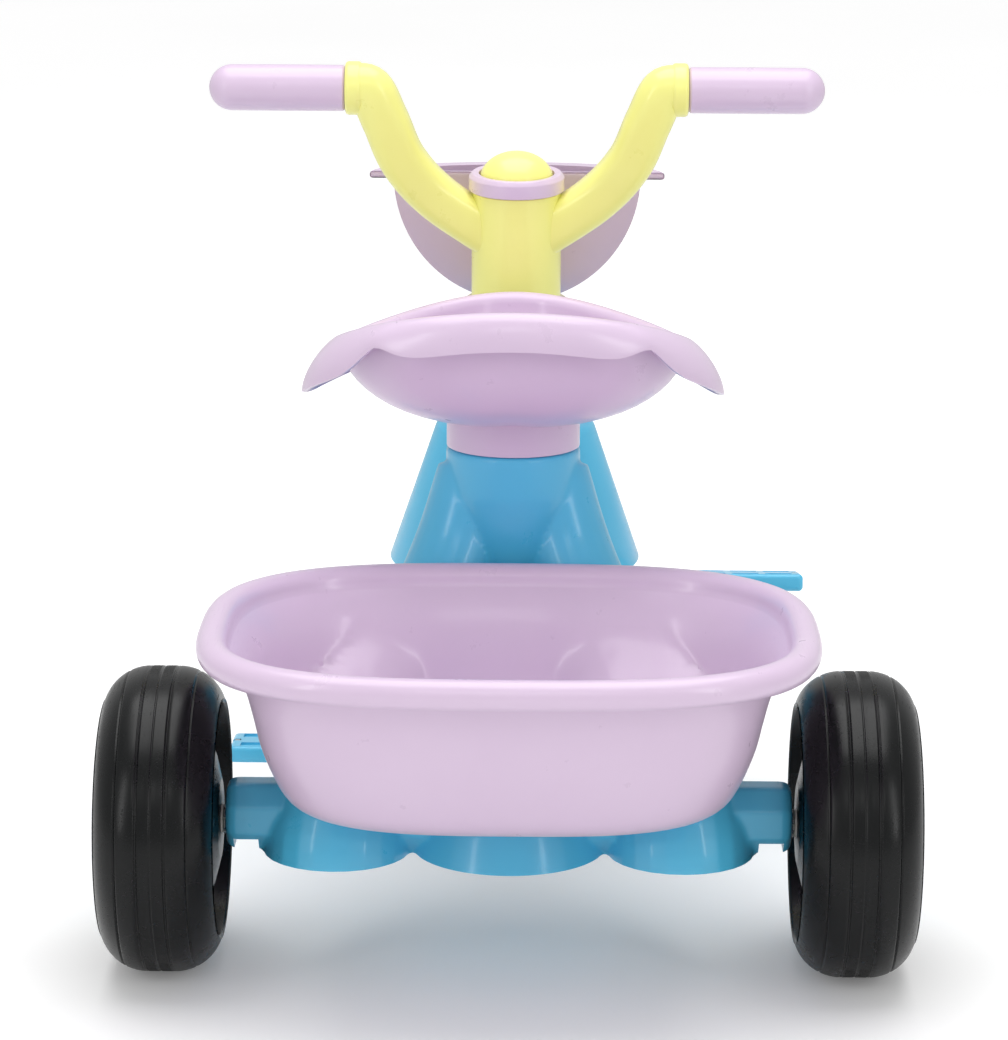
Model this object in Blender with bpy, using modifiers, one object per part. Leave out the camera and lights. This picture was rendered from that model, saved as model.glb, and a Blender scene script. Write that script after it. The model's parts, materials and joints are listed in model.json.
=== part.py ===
"""Children's tricycle: blow-moulded wheels, moulded frame, tub basket, bucket seat and raked steering.

Metres, +Z up, +Y forward, +X to the rider's right. The origin is on the ground, under the middle
of the overall box. Run it with: blender --background --python part.py
"""

from math import cos, exp, pi, radians, sin, sqrt

import bmesh
import bpy
from mathutils import Matrix, Vector

# Driving dimensions
wheel_base = 0.330
gap = 0.0003  # between pieces that touch
running = 0.0004  # radial clearance of a turning fit

rear_wheel_radius = 0.0925
rear_wheel_width = 0.072
rear_track = 0.418
rear_axle_radius = 0.004

front_wheel_radius = 0.100
front_wheel_width = 0.070
crank_rod_radius = 0.005
crank_throw = 0.063
tyre_wall = 0.003
hub_radius = 0.009
hub_face_outer = 0.005  # below the tyre's side
hub_face_inner = 0.0008

frame_wall = 0.0035
beam_half_length = 0.171
beam_height = 0.041
beam_depth = 0.038
beam_hollow_rise = 0.008  # above the beam's middle
lobe_x = 0.1035
lobe_radius = 0.0445
centre_lobe_radius = 0.062
tower_y = 0.158
tower_radius = 0.0425
tower_bottom = 0.165
tower_waist_radius = 0.031
tower_waist_height = 0.215
tower_shoulder_height = 0.264
seat_joint_height = 0.292
socket_depth = 0.026

rake = radians(5)
head_radius = 0.0345
head_bottom = 0.182  # heights t along the steering axis start at the front axle
head_top = 0.2585
column_radius = 0.02975
column_wall = 0.0042
column_top = 0.3355
bush_wall = 0.0015
bush_flange = 0.002

bell_top = 0.1775
bell_hem = 0.080
bell_top_radius = 0.0415
bell_hem_radius = 0.0675
bell_broadening = 1.26
leg_inner_x = 0.044
leg_thickness = 0.012
leg_half_width = 0.021

basket_overhang = 0.179
basket_width = 0.366
basket_length = 0.290
basket_height = 0.1118
basket_wall = 0.003
basket_panel = 0.0005  # raised flat in the tub's floor
basket_roll_radius = 0.009
basket_plan_power = 3.0
leg_to_basket = 0.0075
dent_spread = 0.024  # the dents reach this much further out than the legs

seat_y = 0.140
seat_half_width = 0.1015
seat_half_length = 0.104
seat_side_height = 0.358
seat_rear_height = 0.392
seat_front_height = 0.368
seat_wall = 0.003
lip_radius = 0.004
flange_reach = 0.008  # beyond the lip, at the rear
flange_droop = 0.019
wing_reach = 0.018  # the same at the sides
wing_droop = 0.031

grip_radius = 0.015
grip_length = 0.089
grip_bore_radius = 0.011
collar_radius = 0.0175
collar_length = 0.011
bar_height = 0.504
bar_half_root = 0.101
bar_y = 0.277
arm_radius = 0.0155

ring_radius = 0.03175
ring_bore = 0.025
ring_height = 0.012
button_height = 0.026

pedal_length = 0.100
pedal_depth = 0.050
pedal_thickness = 0.0115
pedal_tilts = {"left": radians(5), "right": radians(11)}  # rear edge up
pedal_inner_x = 0.096
bolt_radius = 0.004
screw_radius = 0.002

overall_length = basket_overhang + wheel_base + front_wheel_radius
rear_axle_y = basket_overhang - overall_length / 2
front_axle_y = rear_axle_y + wheel_base
beam_z = rear_wheel_radius + 0.004
beam_top = beam_z + beam_height / 2
lobe_bottom = beam_z - beam_height / 2 - 0.0015
basket_floor = beam_top + gap

large_steps = 24
small_steps = 14

# Collections, materials and joint frames


def clear_scene():
    for obj in list(bpy.data.objects):
        bpy.data.objects.remove(obj, do_unlink=True)


def new_collection(name, parent):
    collection = bpy.data.collections.new(name)
    parent.children.link(collection)
    return collection


def new_material(name, colour, roughness, metallic=0.0):
    material = bpy.data.materials.new(name)
    material.use_nodes = True
    shader = material.node_tree.nodes["Principled BSDF"]
    shader.inputs["Base Color"].default_value = (*colour, 1.0)
    shader.inputs["Roughness"].default_value = roughness
    shader.inputs["Metallic"].default_value = metallic
    material.diffuse_color = (*colour, 1.0)
    return material


clear_scene()
tricycle = new_collection("tricycle", bpy.context.scene.collection)
cutters = new_collection("tricycle_cutters", bpy.context.scene.collection)

lilac = new_material("lilac_plastic", (0.71, 0.56, 0.75), 0.28)
sky_blue = new_material("sky_blue_plastic", (0.09, 0.44, 0.66), 0.28)
yellow = new_material("yellow_plastic", (0.93, 0.83, 0.25), 0.28)
black = new_material("black_tyre_plastic", (0.012, 0.014, 0.014), 0.38)
nylon = new_material("white_nylon", (0.80, 0.80, 0.78), 0.45)
steel = new_material("zinc_plated_steel", (0.62, 0.62, 0.60), 0.32, 1.0)
rubber = new_material("bellows_rubber", (0.05, 0.05, 0.05), 0.7)


def joint_frame(name, parent, location, turn=0.0):
    """An empty on a joint's axis. Pieces of that body are modelled in its frame."""
    empty = bpy.data.objects.new(name, None)
    empty.empty_display_size = 0.02
    empty.location = location
    empty.rotation_euler = (turn, 0, 0)
    empty.parent = parent
    tricycle.objects.link(empty)
    return empty


chassis = joint_frame("chassis_frame", None, (0, rear_axle_y, 0))
steering = joint_frame("steering_frame", None, (0, front_axle_y, front_wheel_radius), rake)
button_frame = joint_frame("button_frame", steering, (0, 0, column_top))
front_wheel_frame = joint_frame("front_wheel_frame", steering, (0, 0, 0))
rear_frames = {
    "left": joint_frame("rear_left_frame", chassis, (-rear_track / 2, 0, rear_wheel_radius)),
    "right": joint_frame("rear_right_frame", chassis, (rear_track / 2, 0, rear_wheel_radius)),
}
sides = {"left": -1, "right": 1}
pedal_frames = {
    name: joint_frame(f"pedal_{name}_frame", front_wheel_frame, (0, 0, side * crank_throw),
                      -rake - pedal_tilts[name])
    for name, side in sides.items()
}


def steered(x, y, z):
    """A point given from the rear axle and the ground, in the raked steering frame."""
    place = Matrix.Translation((0, wheel_base, front_wheel_radius)) @ Matrix.Rotation(rake, 4, "X")
    return place.inverted() @ Vector((x, y, z))


def unsteered(x, y, t):
    """A point of the raked steering frame, given from the rear axle and the ground."""
    place = Matrix.Translation((0, wheel_base, front_wheel_radius)) @ Matrix.Rotation(rake, 4, "X")
    return place @ Vector((x, y, t))


# Modelling helpers


def add_object(name, data, frame, material=None, cutter=False):
    obj = bpy.data.objects.new(name, data)
    obj.parent = frame
    (cutters if cutter else tricycle).objects.link(obj)
    if material:
        data.materials.append(material)
    if cutter:
        obj.hide_render = True
        obj.display_type = "WIRE"
    return obj


def smooth(obj, angle=35):
    obj.data.shade_smooth()
    obj.data.set_sharp_from_angle(angle=radians(angle))


def mesh_object(name, bm, frame, material=None, cutter=False):
    mesh = bpy.data.meshes.new(name)
    bm.to_mesh(mesh)
    bm.free()
    obj = add_object(name, mesh, frame, material, cutter)
    smooth(obj)
    return obj


def turned(name, profile, frame, material=None, steps=large_steps, along_x=False, at=(0, 0, 0)):
    """A turned piece. The profile is (radius, height), down the outer side and back up the bore."""
    bm = bmesh.new()
    verts = [bm.verts.new((radius, 0, height)) for radius, height in profile]
    for first, second in zip(verts, verts[1:]):
        bm.edges.new((first, second))
    if profile[0][0] > 0:
        bm.edges.new((verts[-1], verts[0]))
    obj = mesh_object(name, bm, frame, material)
    obj.location = at
    if along_x:
        obj.rotation_euler = (0, pi / 2, 0)
    screw = obj.modifiers.new("turn", "SCREW")
    screw.steps = screw.render_steps = steps
    screw.use_merge_vertices = True
    screw.merge_threshold = 0.00005
    screw.use_smooth_shade = True
    return obj


def cylinder(name, radius, low, high, frame, material=None, steps=small_steps, along_x=False,
             at=(0, 0, 0), cutter=False):
    bm = bmesh.new()
    bmesh.ops.create_cone(bm, cap_ends=True, segments=steps, radius1=radius, radius2=radius, depth=high - low,
                          matrix=Matrix.Translation((0, 0, (low + high) / 2)))
    if along_x:
        bmesh.ops.rotate(bm, verts=bm.verts, matrix=Matrix.Rotation(pi / 2, 3, "Y"))
    obj = mesh_object(name, bm, frame, material, cutter)
    obj.location = at
    return obj


def ring(name, radius, bore, low, high, frame, material, steps=small_steps, along_x=False,
         at=(0, 0, 0)):
    profile = [(radius, high), (radius, low), (bore, low), (bore, high)]
    return turned(name, profile, frame, material, steps, along_x, at)


def box(name, low, high, frame, material=None, cutter=False, bevel=0.0):
    bm = bmesh.new()
    bmesh.ops.create_cube(bm, size=1)
    low, high = Vector(low), Vector(high)
    bmesh.ops.scale(bm, vec=high - low, verts=bm.verts)
    bmesh.ops.translate(bm, vec=(low + high) / 2, verts=bm.verts)
    obj = mesh_object(name, bm, frame, material, cutter)
    if bevel:
        edge = obj.modifiers.new("edges", "BEVEL")
        edge.width = bevel
        edge.segments = 2
    return obj


def cone(name, low_radius, high_radius, low, high, frame, at=(0, 0), broaden=1.0, steps=large_steps,
         cutter=False, material=None, bevel=0.0):
    """An upright cone, wider along X by a factor."""
    bm = bmesh.new()
    bmesh.ops.create_cone(bm, cap_ends=True, segments=steps, radius1=low_radius, radius2=high_radius,
                          depth=high - low)
    bmesh.ops.scale(bm, vec=(broaden, 1, 1), verts=bm.verts)
    bmesh.ops.translate(bm, vec=(at[0], at[1], (low + high) / 2), verts=bm.verts)
    if bevel:
        rim = [edge for edge in bm.edges if all(vert.co.z > high - 1e-5 for vert in edge.verts)]
        bmesh.ops.bevel(bm, geom=rim, offset=bevel, segments=3, profile=0.5, affect="EDGES")
    return mesh_object(name, bm, frame, material, cutter)


def flared_tube(name, stations, frame, cutter=False, resolution=2, sides_of_tube=12):
    """A closed tube through stations (point, radius), made a mesh so that it can be joined or cut."""
    curve = bpy.data.curves.new(name, "CURVE")
    curve.dimensions = "3D"
    curve.bevel_depth = 0.01
    curve.bevel_resolution = sides_of_tube // 4 - 1
    curve.use_fill_caps = True
    curve.resolution_u = resolution
    spline = curve.splines.new("BEZIER")
    spline.bezier_points.add(len(stations) - 1)
    for knot, (point, radius) in zip(spline.bezier_points, stations):
        knot.co = point
        knot.radius = radius / curve.bevel_depth
        knot.handle_left_type = knot.handle_right_type = "AUTO"
    guide = bpy.data.objects.new(name + "_guide", curve)
    cutters.objects.link(guide)
    guide.parent = frame
    bpy.context.view_layer.update()
    mesh = bpy.data.meshes.new_from_object(guide.evaluated_get(bpy.context.evaluated_depsgraph_get()))
    bpy.data.objects.remove(guide)
    bpy.data.curves.remove(curve)
    bm = bmesh.new()
    bm.from_mesh(mesh)
    bpy.data.meshes.remove(mesh)
    bmesh.ops.remove_doubles(bm, verts=bm.verts, dist=1e-5)
    bmesh.ops.recalc_face_normals(bm, faces=bm.faces)
    return mesh_object(name, bm, frame, cutter=cutter)


def combine(target, tool, operation):
    """Joins or cuts with a mesh that is kept as a wire helper."""
    if tool.name not in cutters.objects:
        for collection in list(tool.users_collection):
            collection.objects.unlink(tool)
        cutters.objects.link(tool)
    tool.hide_render = True
    tool.display_type = "WIRE"
    boolean = target.modifiers.new(tool.name, "BOOLEAN")
    boolean.operation = operation
    boolean.solver = "EXACT"
    boolean.object = tool


def join(target, *tools):
    for tool in tools:
        combine(target, tool, "UNION")


def cut(target, *tools):
    for tool in tools:
        combine(target, tool, "DIFFERENCE")


def blend(low, high, share):
    return low + (high - low) * share


# Frame: one moulding, open underneath


def leg_stations(side, inset=0.0):
    """Centre points and radii of one rear leg, from the tower's shoulder down to its lobe."""
    drop = tower_bottom + 0.110 - lobe_bottom
    path = [
        ((0.024, tower_y, lobe_bottom + drop), 0.024),
        ((0.0375, tower_y - 0.012, lobe_bottom + 0.725 * drop), 0.0285),
        ((0.064, tower_y - 0.050, lobe_bottom + 0.425 * drop), 0.034),
        ((0.091, tower_y - 0.108, lobe_bottom + 0.17 * drop), 0.040),
        ((lobe_x, 0.0, lobe_bottom + 0.007), lobe_radius - 0.0008),
        ((lobe_x, 0.0, lobe_bottom - 0.02), lobe_radius + 0.002),
    ]
    if inset:
        path = path[1:]
    return [((side * x, y, z), radius - inset) for (x, y, z), radius in path]


def neck_outline(inset=0.0):
    """Side outline (y, z) of the neck between the tower and the steering head."""
    head_low = unsteered(0, 0, head_bottom + 0.002)
    head_high = unsteered(0, 0, head_top - 0.008)
    back = tower_y + (tower_radius if inset else 0.0)
    front = head_low.y - (head_radius + frame_wall if inset else 0.0)
    high_front = head_high.y - (head_radius + frame_wall if inset else 0.0)
    low = 0.03 if inset else 0.0
    return [
        (back, tower_bottom + 0.030 - low),
        (tower_y + tower_radius + 0.020, tower_bottom + 0.040 - low),
        (front - (0.0 if inset else head_radius + 0.012), head_low.z - low),
        (front, head_low.z - low),
        (high_front, head_high.z - inset),
        (high_front - (0.0 if inset else head_radius), head_high.z - 0.010 - inset),
        (tower_y + tower_radius, seat_joint_height - 0.002 - inset),
        (back, seat_joint_height - 0.004 - inset),
    ]


def neck(name, half_width, inset=0.0, cutter=False):
    bm = bmesh.new()
    outline = neck_outline(inset)
    face = bm.faces.new([bm.verts.new((-half_width, y, z)) for y, z in outline])
    grown = bmesh.ops.extrude_face_region(bm, geom=[face])
    bmesh.ops.translate(bm, vec=(2 * half_width, 0, 0),
                        verts=[item for item in grown["geom"] if isinstance(item, bmesh.types.BMVert)])
    bmesh.ops.recalc_face_normals(bm, faces=bm.faces)
    return mesh_object(name, bm, chassis, cutter=cutter)


def make_frame():
    at_tower = (0, tower_y)
    frame = cylinder("main_frame", tower_radius, tower_shoulder_height, seat_joint_height, chassis, sky_blue,
                     large_steps, at=(0, tower_y, 0))
    waist = cone("tower_waist", tower_waist_radius, tower_radius - 0.0002, tower_waist_height,
                 tower_shoulder_height + 0.002, chassis, at=at_tower)
    stem = cone("tower_stem", tower_waist_radius - 0.002, tower_waist_radius - 0.0002, tower_bottom,
                tower_waist_height + 0.002, chassis, at=at_tower)
    beam_bm = bmesh.new()
    bmesh.ops.create_cone(beam_bm, cap_ends=True, segments=8, radius1=0.5, radius2=0.5,
                          depth=2 * beam_half_length)
    bmesh.ops.rotate(beam_bm, verts=beam_bm.verts, matrix=Matrix.Rotation(pi / 8, 3, "Z"))
    bmesh.ops.rotate(beam_bm, verts=beam_bm.verts, matrix=Matrix.Rotation(pi / 2, 3, "Y"))
    flat_to_flat = cos(pi / 8)
    bmesh.ops.scale(beam_bm, vec=(1, beam_depth / flat_to_flat, beam_height / flat_to_flat),
                    verts=beam_bm.verts)
    bmesh.ops.translate(beam_bm, vec=(0, 0, beam_z), verts=beam_bm.verts)
    beam = mesh_object("beam", beam_bm, chassis)
    ends = beam.modifiers.new("ends", "BEVEL")
    ends.width = 0.005
    ends.segments = 2
    ends.limit_method = "ANGLE"
    ends.angle_limit = radians(60)
    centre_lobe = cone("centre_lobe", centre_lobe_radius, 0.045, lobe_bottom, beam_top - gap, chassis,
                       at=(0, 0.007))
    head = cylinder("head_outside", head_radius, head_bottom, head_top, steering, steps=large_steps)
    legs = [flared_tube(f"leg_{name}", leg_stations(side), chassis) for name, side in sides.items()]
    join(frame, waist, stem, beam, centre_lobe, *legs, neck("neck", 0.024), head)

    floor = box("floor_trim", (-0.3, -0.2, lobe_bottom - 0.1), (0.3, 0.3, lobe_bottom), chassis, cutter=True)
    hollows = [flared_tube(f"leg_hollow_{name}", leg_stations(side, frame_wall), chassis, True)
               for name, side in sides.items()]
    lobe_hollow = cone("lobe_hollow", centre_lobe_radius - frame_wall + 0.004, 0.045 - frame_wall,
                       lobe_bottom - 0.01, beam_top - frame_wall, chassis, at=(0, 0.007), cutter=True)
    ceiling = seat_joint_height - socket_depth - frame_wall
    ceiling_share = (ceiling - tower_waist_height) / (tower_shoulder_height - tower_waist_height)
    ceiling_radius = blend(tower_waist_radius, tower_radius, ceiling_share) - frame_wall - 0.0005
    waist_hollow = cone("waist_hollow", tower_waist_radius - frame_wall, ceiling_radius, tower_waist_height,
                        ceiling, chassis, at=at_tower, cutter=True)
    stem_hollow = cone("stem_hollow", tower_waist_radius - frame_wall - 0.004,
                       tower_waist_radius - frame_wall - 0.0002, tower_bottom - 0.05,
                       tower_waist_height + 0.002, chassis, at=at_tower, cutter=True)
    neck_hollow = neck("neck_hollow", 0.024 - frame_wall, frame_wall, cutter=True)
    cut(frame, floor, *hollows, lobe_hollow, waist_hollow, stem_hollow, neck_hollow)
    for name, side in sides.items():
        low, high = sorted((side * (lobe_x + lobe_radius + 0.003), side * (beam_half_length - 0.005)))
        cut(frame, box(f"beam_end_hollow_{name}", (low, -beam_depth / 2 + frame_wall, beam_z - beam_height),
                       (high, beam_depth / 2 - frame_wall, beam_z + beam_hollow_rise), chassis, cutter=True))
    seat_post_radius = tower_radius - frame_wall
    cut(frame,
        cylinder("seat_socket", seat_post_radius, seat_joint_height - socket_depth, seat_joint_height + 0.05,
                 chassis, steps=large_steps, at=(0, tower_y, 0), cutter=True),
        cylinder("seat_screw_hole", screw_radius + gap, 0.1, seat_joint_height, chassis,
                 at=(0, tower_y, 0), cutter=True),
        cylinder("head_bore", column_radius + running + bush_wall + gap, head_bottom - 0.01, head_top + 0.01,
                 steering, steps=large_steps, cutter=True),
        cylinder("axle_bore", rear_axle_radius + gap, -beam_half_length - 0.01, beam_half_length + 0.01,
                 chassis, along_x=True, at=(0, 0, rear_wheel_radius), cutter=True))
    return frame


# Basket: a tub whose front is dented round the legs


def distance_to_leg(point, side):
    """How far a point lies outside the space kept for one leg; negative inside it."""
    stations = leg_stations(side)
    nearest = 1.0
    beyond = (point.x * side - stations[2][0][0]) / dent_spread
    point = point - Vector((side * dent_spread * max(0.0, min(1.0, beyond)), 0, 0))
    for (start, start_radius), (end, end_radius) in zip(stations, stations[1:]):
        start, end = Vector(start), Vector(end)
        along = end - start
        share = max(0.0, min(1.0, (point - start).dot(along) / along.length_squared))
        reach = (point - start - along * share).length - blend(start_radius, end_radius, share)
        nearest = min(nearest, reach)
    return nearest


basket_centre_y = -basket_overhang + basket_length / 2


def basket_reach(angle, half_width, height):
    """Distance from the middle of the tub to its outside, less where a leg is in the way."""
    half_length = half_width - (basket_width - basket_length) / 2
    across = abs(cos(angle)) / half_width
    along = abs(sin(angle)) / half_length
    reach = (across ** basket_plan_power + along ** basket_plan_power) ** (-1 / basket_plan_power)
    if height > basket_floor + basket_height - 2 * basket_roll_radius:
        return reach
    ray = Vector((cos(angle), sin(angle), 0))
    middle = Vector((0, basket_centre_y, height))
    side = 1 if cos(angle) > 0 else -1
    step = 0.0015
    clear = 0.03
    while clear < reach and distance_to_leg(middle + ray * clear, side) > leg_to_basket:
        clear += step
    return min(reach, clear)


def basket_rows():
    """(half width, height) of the tub's outside, from the floor's edge up over the rolled rim."""
    top = basket_floor + basket_height
    roll_x = basket_width / 2 - basket_roll_radius
    roll_z = top - basket_roll_radius
    inner_roll = basket_roll_radius - basket_wall
    corner_z = basket_floor + 0.030
    corner_x = roll_x - 0.032
    floor_x = corner_x - 0.038
    rows = []
    for turn in (0, 35, 65, 90):
        rows.append((blend(floor_x, corner_x, sin(radians(turn))),
                     blend(corner_z, basket_floor, cos(radians(turn)))))
    rows += [(roll_x - 0.0255, basket_floor + 0.060), (roll_x - 0.0185, basket_floor + 0.086),
             (roll_x - inner_roll - 0.003, roll_z - 0.007)]
    for turn in (180, 120, 60, 0, -60):
        rows.append((roll_x + inner_roll * cos(radians(turn)), roll_z + inner_roll * sin(radians(turn))))
    return rows


def make_basket():
    turns = 44
    bm = bmesh.new()
    rings = []
    rows = basket_rows()
    floor_width, floor_height = rows[0]
    middle_share = 0.55
    rings.append([Vector((cos(2 * pi * i / turns), sin(2 * pi * i / turns), 0))
                  * basket_reach(2 * pi * i / turns, floor_width, floor_height) * middle_share
                  + Vector((0, basket_centre_y, floor_height)) for i in range(turns)])
    for half_width, height in rows:
        rings.append([Vector((cos(2 * pi * i / turns), sin(2 * pi * i / turns), 0))
                      * basket_reach(2 * pi * i / turns, half_width, height)
                      + Vector((0, basket_centre_y, height)) for i in range(turns)])
    loops = [[bm.verts.new(point) for point in points] for points in rings]
    middle = bm.verts.new((0, basket_centre_y, floor_height))
    for i in range(turns):
        j = (i + 1) % turns
        bm.faces.new((middle, loops[0][j], loops[0][i]))
        for low, high in zip(loops, loops[1:]):
            bm.faces.new((low[i], low[j], high[j], high[i]))
    basket = mesh_object("basket", bm, chassis, lilac)
    wall = basket.modifiers.new("wall", "SOLIDIFY")
    wall.thickness = basket_wall
    wall.offset = -1
    join(basket, box("basket_floor_panel", (-0.040, -0.090, basket_floor + basket_wall / 2),
                     (0.040, -0.045, basket_floor + basket_wall + basket_panel), chassis))
    return basket


basket_screw_places = ((-0.050, 0.0), (0.050, 0.0), (0.0, -0.026))


def make_basket_screws(basket, frame):
    """Pan-head screws from the tub's floor into the beam."""
    head_low = basket_floor + basket_wall + gap
    shank_bottom = basket_floor - frame_wall - 0.004
    profile = [(0, head_low + 0.0026), (0.0035, head_low + 0.0026), (0.005, head_low + 0.0008),
               (0.005, head_low), (screw_radius, head_low), (screw_radius, shank_bottom), (0, shank_bottom)]
    for i, (x, y) in enumerate(basket_screw_places, 1):
        turned(f"basket_screw_{i}", profile, chassis, steel, small_steps - 4, at=(x, y, 0))
        drill = cylinder(f"basket_screw_hole_{i}", screw_radius + gap, shank_bottom - 0.002, head_low + 0.01,
                         chassis, at=(x, y, 0), cutter=True)
        cut(basket, drill)
        cut(frame, drill)


# Seat: a bucket with a turned-down lip and drooping sides


def seat_rim_height(angle):
    share = abs(sin(angle)) ** 1.7
    end = seat_front_height if sin(angle) > 0 else seat_rear_height
    return blend(seat_side_height, end, share)


def flange(angle, share):
    """How far out and down the turned-down lip has gone: broad on the wings, cut up at two rear notches."""
    side = cos(angle) ** 2
    notch = (abs(abs(angle) - pi / 2) - radians(34)) / radians(8) if angle < 0 else 9.0
    droop = blend(flange_droop, wing_droop, side) - 0.008 * exp(-notch * notch)
    straight = 0.5 * side
    fall = straight * share + (1 - straight) * (1 - sqrt(1 - share * share))
    return blend(flange_reach, wing_reach, side) * share, droop * fall


def seat_point(angle, half_width, half_length, height):
    taper = 1 - 0.30 * sin(angle)
    return Vector((half_width * cos(angle) * taper, seat_y + half_length * sin(angle), height))


def make_seat():
    turns = 32
    pan_bottom = seat_joint_height + 0.019
    bm = bmesh.new()
    rings = []
    for tilt in (26, 46, 62, 76, 90):
        share = sin(radians(tilt))
        points = []
        for i in range(turns):
            angle = 2 * pi * i / turns - pi
            rise = (seat_side_height - pan_bottom) * (1 - cos(radians(tilt)))
            lift = (seat_rim_height(angle) - seat_side_height) * share ** 6
            points.append(seat_point(angle, seat_half_width * share, seat_half_length * share,
                                     pan_bottom + rise + lift))
        rings.append(points)
    for share in (0.0, 0.45, 0.8, 1.0):
        points = []
        for i in range(turns):
            angle = 2 * pi * i / turns - pi
            out, down = flange(angle, share)
            points.append(seat_point(angle, seat_half_width + lip_radius + out,
                                     seat_half_length + lip_radius + out,
                                     seat_rim_height(angle) + lip_radius - down))
        rings.append(points)
    loops = [[bm.verts.new(point) for point in points] for points in rings]
    middle = bm.verts.new((0, seat_y, pan_bottom))
    for i in range(turns):
        j = (i + 1) % turns
        bm.faces.new((middle, loops[0][j], loops[0][i]))
        for low, high in zip(loops, loops[1:]):
            bm.faces.new((low[i], low[j], high[j], high[i]))
    seat = mesh_object("seat", bm, chassis, lilac)
    wall = seat.modifiers.new("wall", "SOLIDIFY")
    wall.thickness = seat_wall
    wall.offset = -1

    post_radius = tower_radius - frame_wall - gap
    post_bottom = seat_joint_height - socket_depth + gap
    stem_profile = [(tower_radius - gap, pan_bottom + 0.0055), (tower_radius - gap, seat_joint_height + gap),
                    (post_radius, seat_joint_height + gap), (post_radius, post_bottom),
                    (post_radius - frame_wall, post_bottom), (post_radius - frame_wall, pan_bottom + 0.0055)]
    boss_bottom = post_bottom
    join(seat,
         turned("seat_stem", stem_profile, chassis, steps=large_steps, at=(0, tower_y, 0)),
         cylinder("seat_boss", 0.008, boss_bottom, pan_bottom + 0.0015, chassis, at=(0, tower_y, 0)))
    cut(seat, cylinder("seat_pilot", screw_radius + gap, boss_bottom - 0.01, boss_bottom + 0.026, chassis,
                       at=(0, tower_y, 0), cutter=True))
    floor_low = seat_joint_height - socket_depth - frame_wall
    turned("seat_screw", [(0, boss_bottom + 0.022), (screw_radius, boss_bottom + 0.022),
                          (screw_radius, floor_low - gap), (0.005, floor_low - gap),
                          (0.0042, floor_low - 0.003), (0, floor_low - 0.003)],
           chassis, steel, small_steps - 4, at=(0, tower_y, 0))
    return seat


# Rear wheels and their axle


def half_wheel_profile(radius, width, boss):
    """Outside and inside outlines (radius, x) of one half. Its hub ends a boss depth below the side."""
    half = width / 2
    floor = half - 0.019
    top = half - boss
    wall = tyre_wall
    outside = [(hub_radius, top), (0.030, top - 0.003), (0.052, half - 0.011), (0.057, floor),
               (radius - 0.024, floor), (radius - 0.0205, half - 0.002), (radius - 0.0155, half),
               (radius - 0.0065, half - 0.009), (radius - 0.0015, half - 0.019), (radius, half - 0.028)]
    inside = [(hub_radius, top - wall), (0.028, top - wall - 0.003), (0.0505, half - wall - 0.011),
              (0.0555, floor - wall), (radius - 0.0215, floor - wall), (radius - 0.0155, half - wall - 0.003),
              (radius - wall - 0.003, half - wall - 0.012), (radius - wall, half - wall - 0.026)]
    return outside, inside


def wheel_profile(radius, width, low_boss, high_boss):
    """Closed outline (radius, x) of a hollow moulded wheel, open at its hub."""
    outside, inside = half_wheel_profile(radius, width, high_boss)
    low_outside, low_inside = half_wheel_profile(radius, width, low_boss)
    out = outside + [(r, -x) for r, x in reversed(low_outside)]
    back = inside + [(r, -x) for r, x in reversed(low_inside)]
    return out + list(reversed(back))


def make_rear_end():
    beam_face = beam_half_length
    washer = 0.0012
    half_wheel = rear_wheel_width / 2
    nose = rear_track / 2 - beam_face - washer - 2 * gap
    cylinder("rear_axle", rear_axle_radius, -rear_track / 2 - half_wheel + 0.0015,
             rear_track / 2 + half_wheel - 0.0015, chassis, steel, along_x=True, at=(0, 0, rear_wheel_radius))
    for name, side in sides.items():
        frame = rear_frames[name]
        bosses = (hub_face_outer, hub_face_inner) if side < 0 else (hub_face_inner, hub_face_outer)
        turned(f"rear_wheel_{name}", wheel_profile(rear_wheel_radius, rear_wheel_width, *bosses), frame,
               black, large_steps, along_x=True)
        low, high = sorted((-side * nose, side * (half_wheel - 0.0044)))
        hub_bore = rear_axle_radius + running
        turned(f"rear_hub_{name}", [(hub_radius - gap, high), (hub_radius - gap, low), (hub_bore, low),
                                    (hub_bore, high)], frame, nylon, small_steps, along_x=True)
        near, far = sorted((side * (beam_face + gap), side * (beam_face + gap + washer)))
        ring(f"rear_washer_{name}", 0.0085, rear_axle_radius + gap, near, far, chassis, steel, along_x=True,
             at=(0, 0, rear_wheel_radius))
        cap_face = rear_track / 2 + half_wheel - 0.0040
        profile = [(0, cap_face + 0.0038), (0.005, cap_face + 0.0035), (0.0085, cap_face + 0.0012),
                   (0.0085, cap_face), (rear_axle_radius + gap, cap_face),
                   (rear_axle_radius + gap, cap_face + 0.0030), (0, cap_face + 0.0030)]
        if side < 0:
            profile = [(radius, -x) for radius, x in reversed(profile)]
        turned(f"rear_cap_{name}", profile, chassis, nylon, small_steps, along_x=True,
               at=(0, 0, rear_wheel_radius))


# Steering: fork, handlebar, grips, cowl and the bolt that holds them


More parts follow.
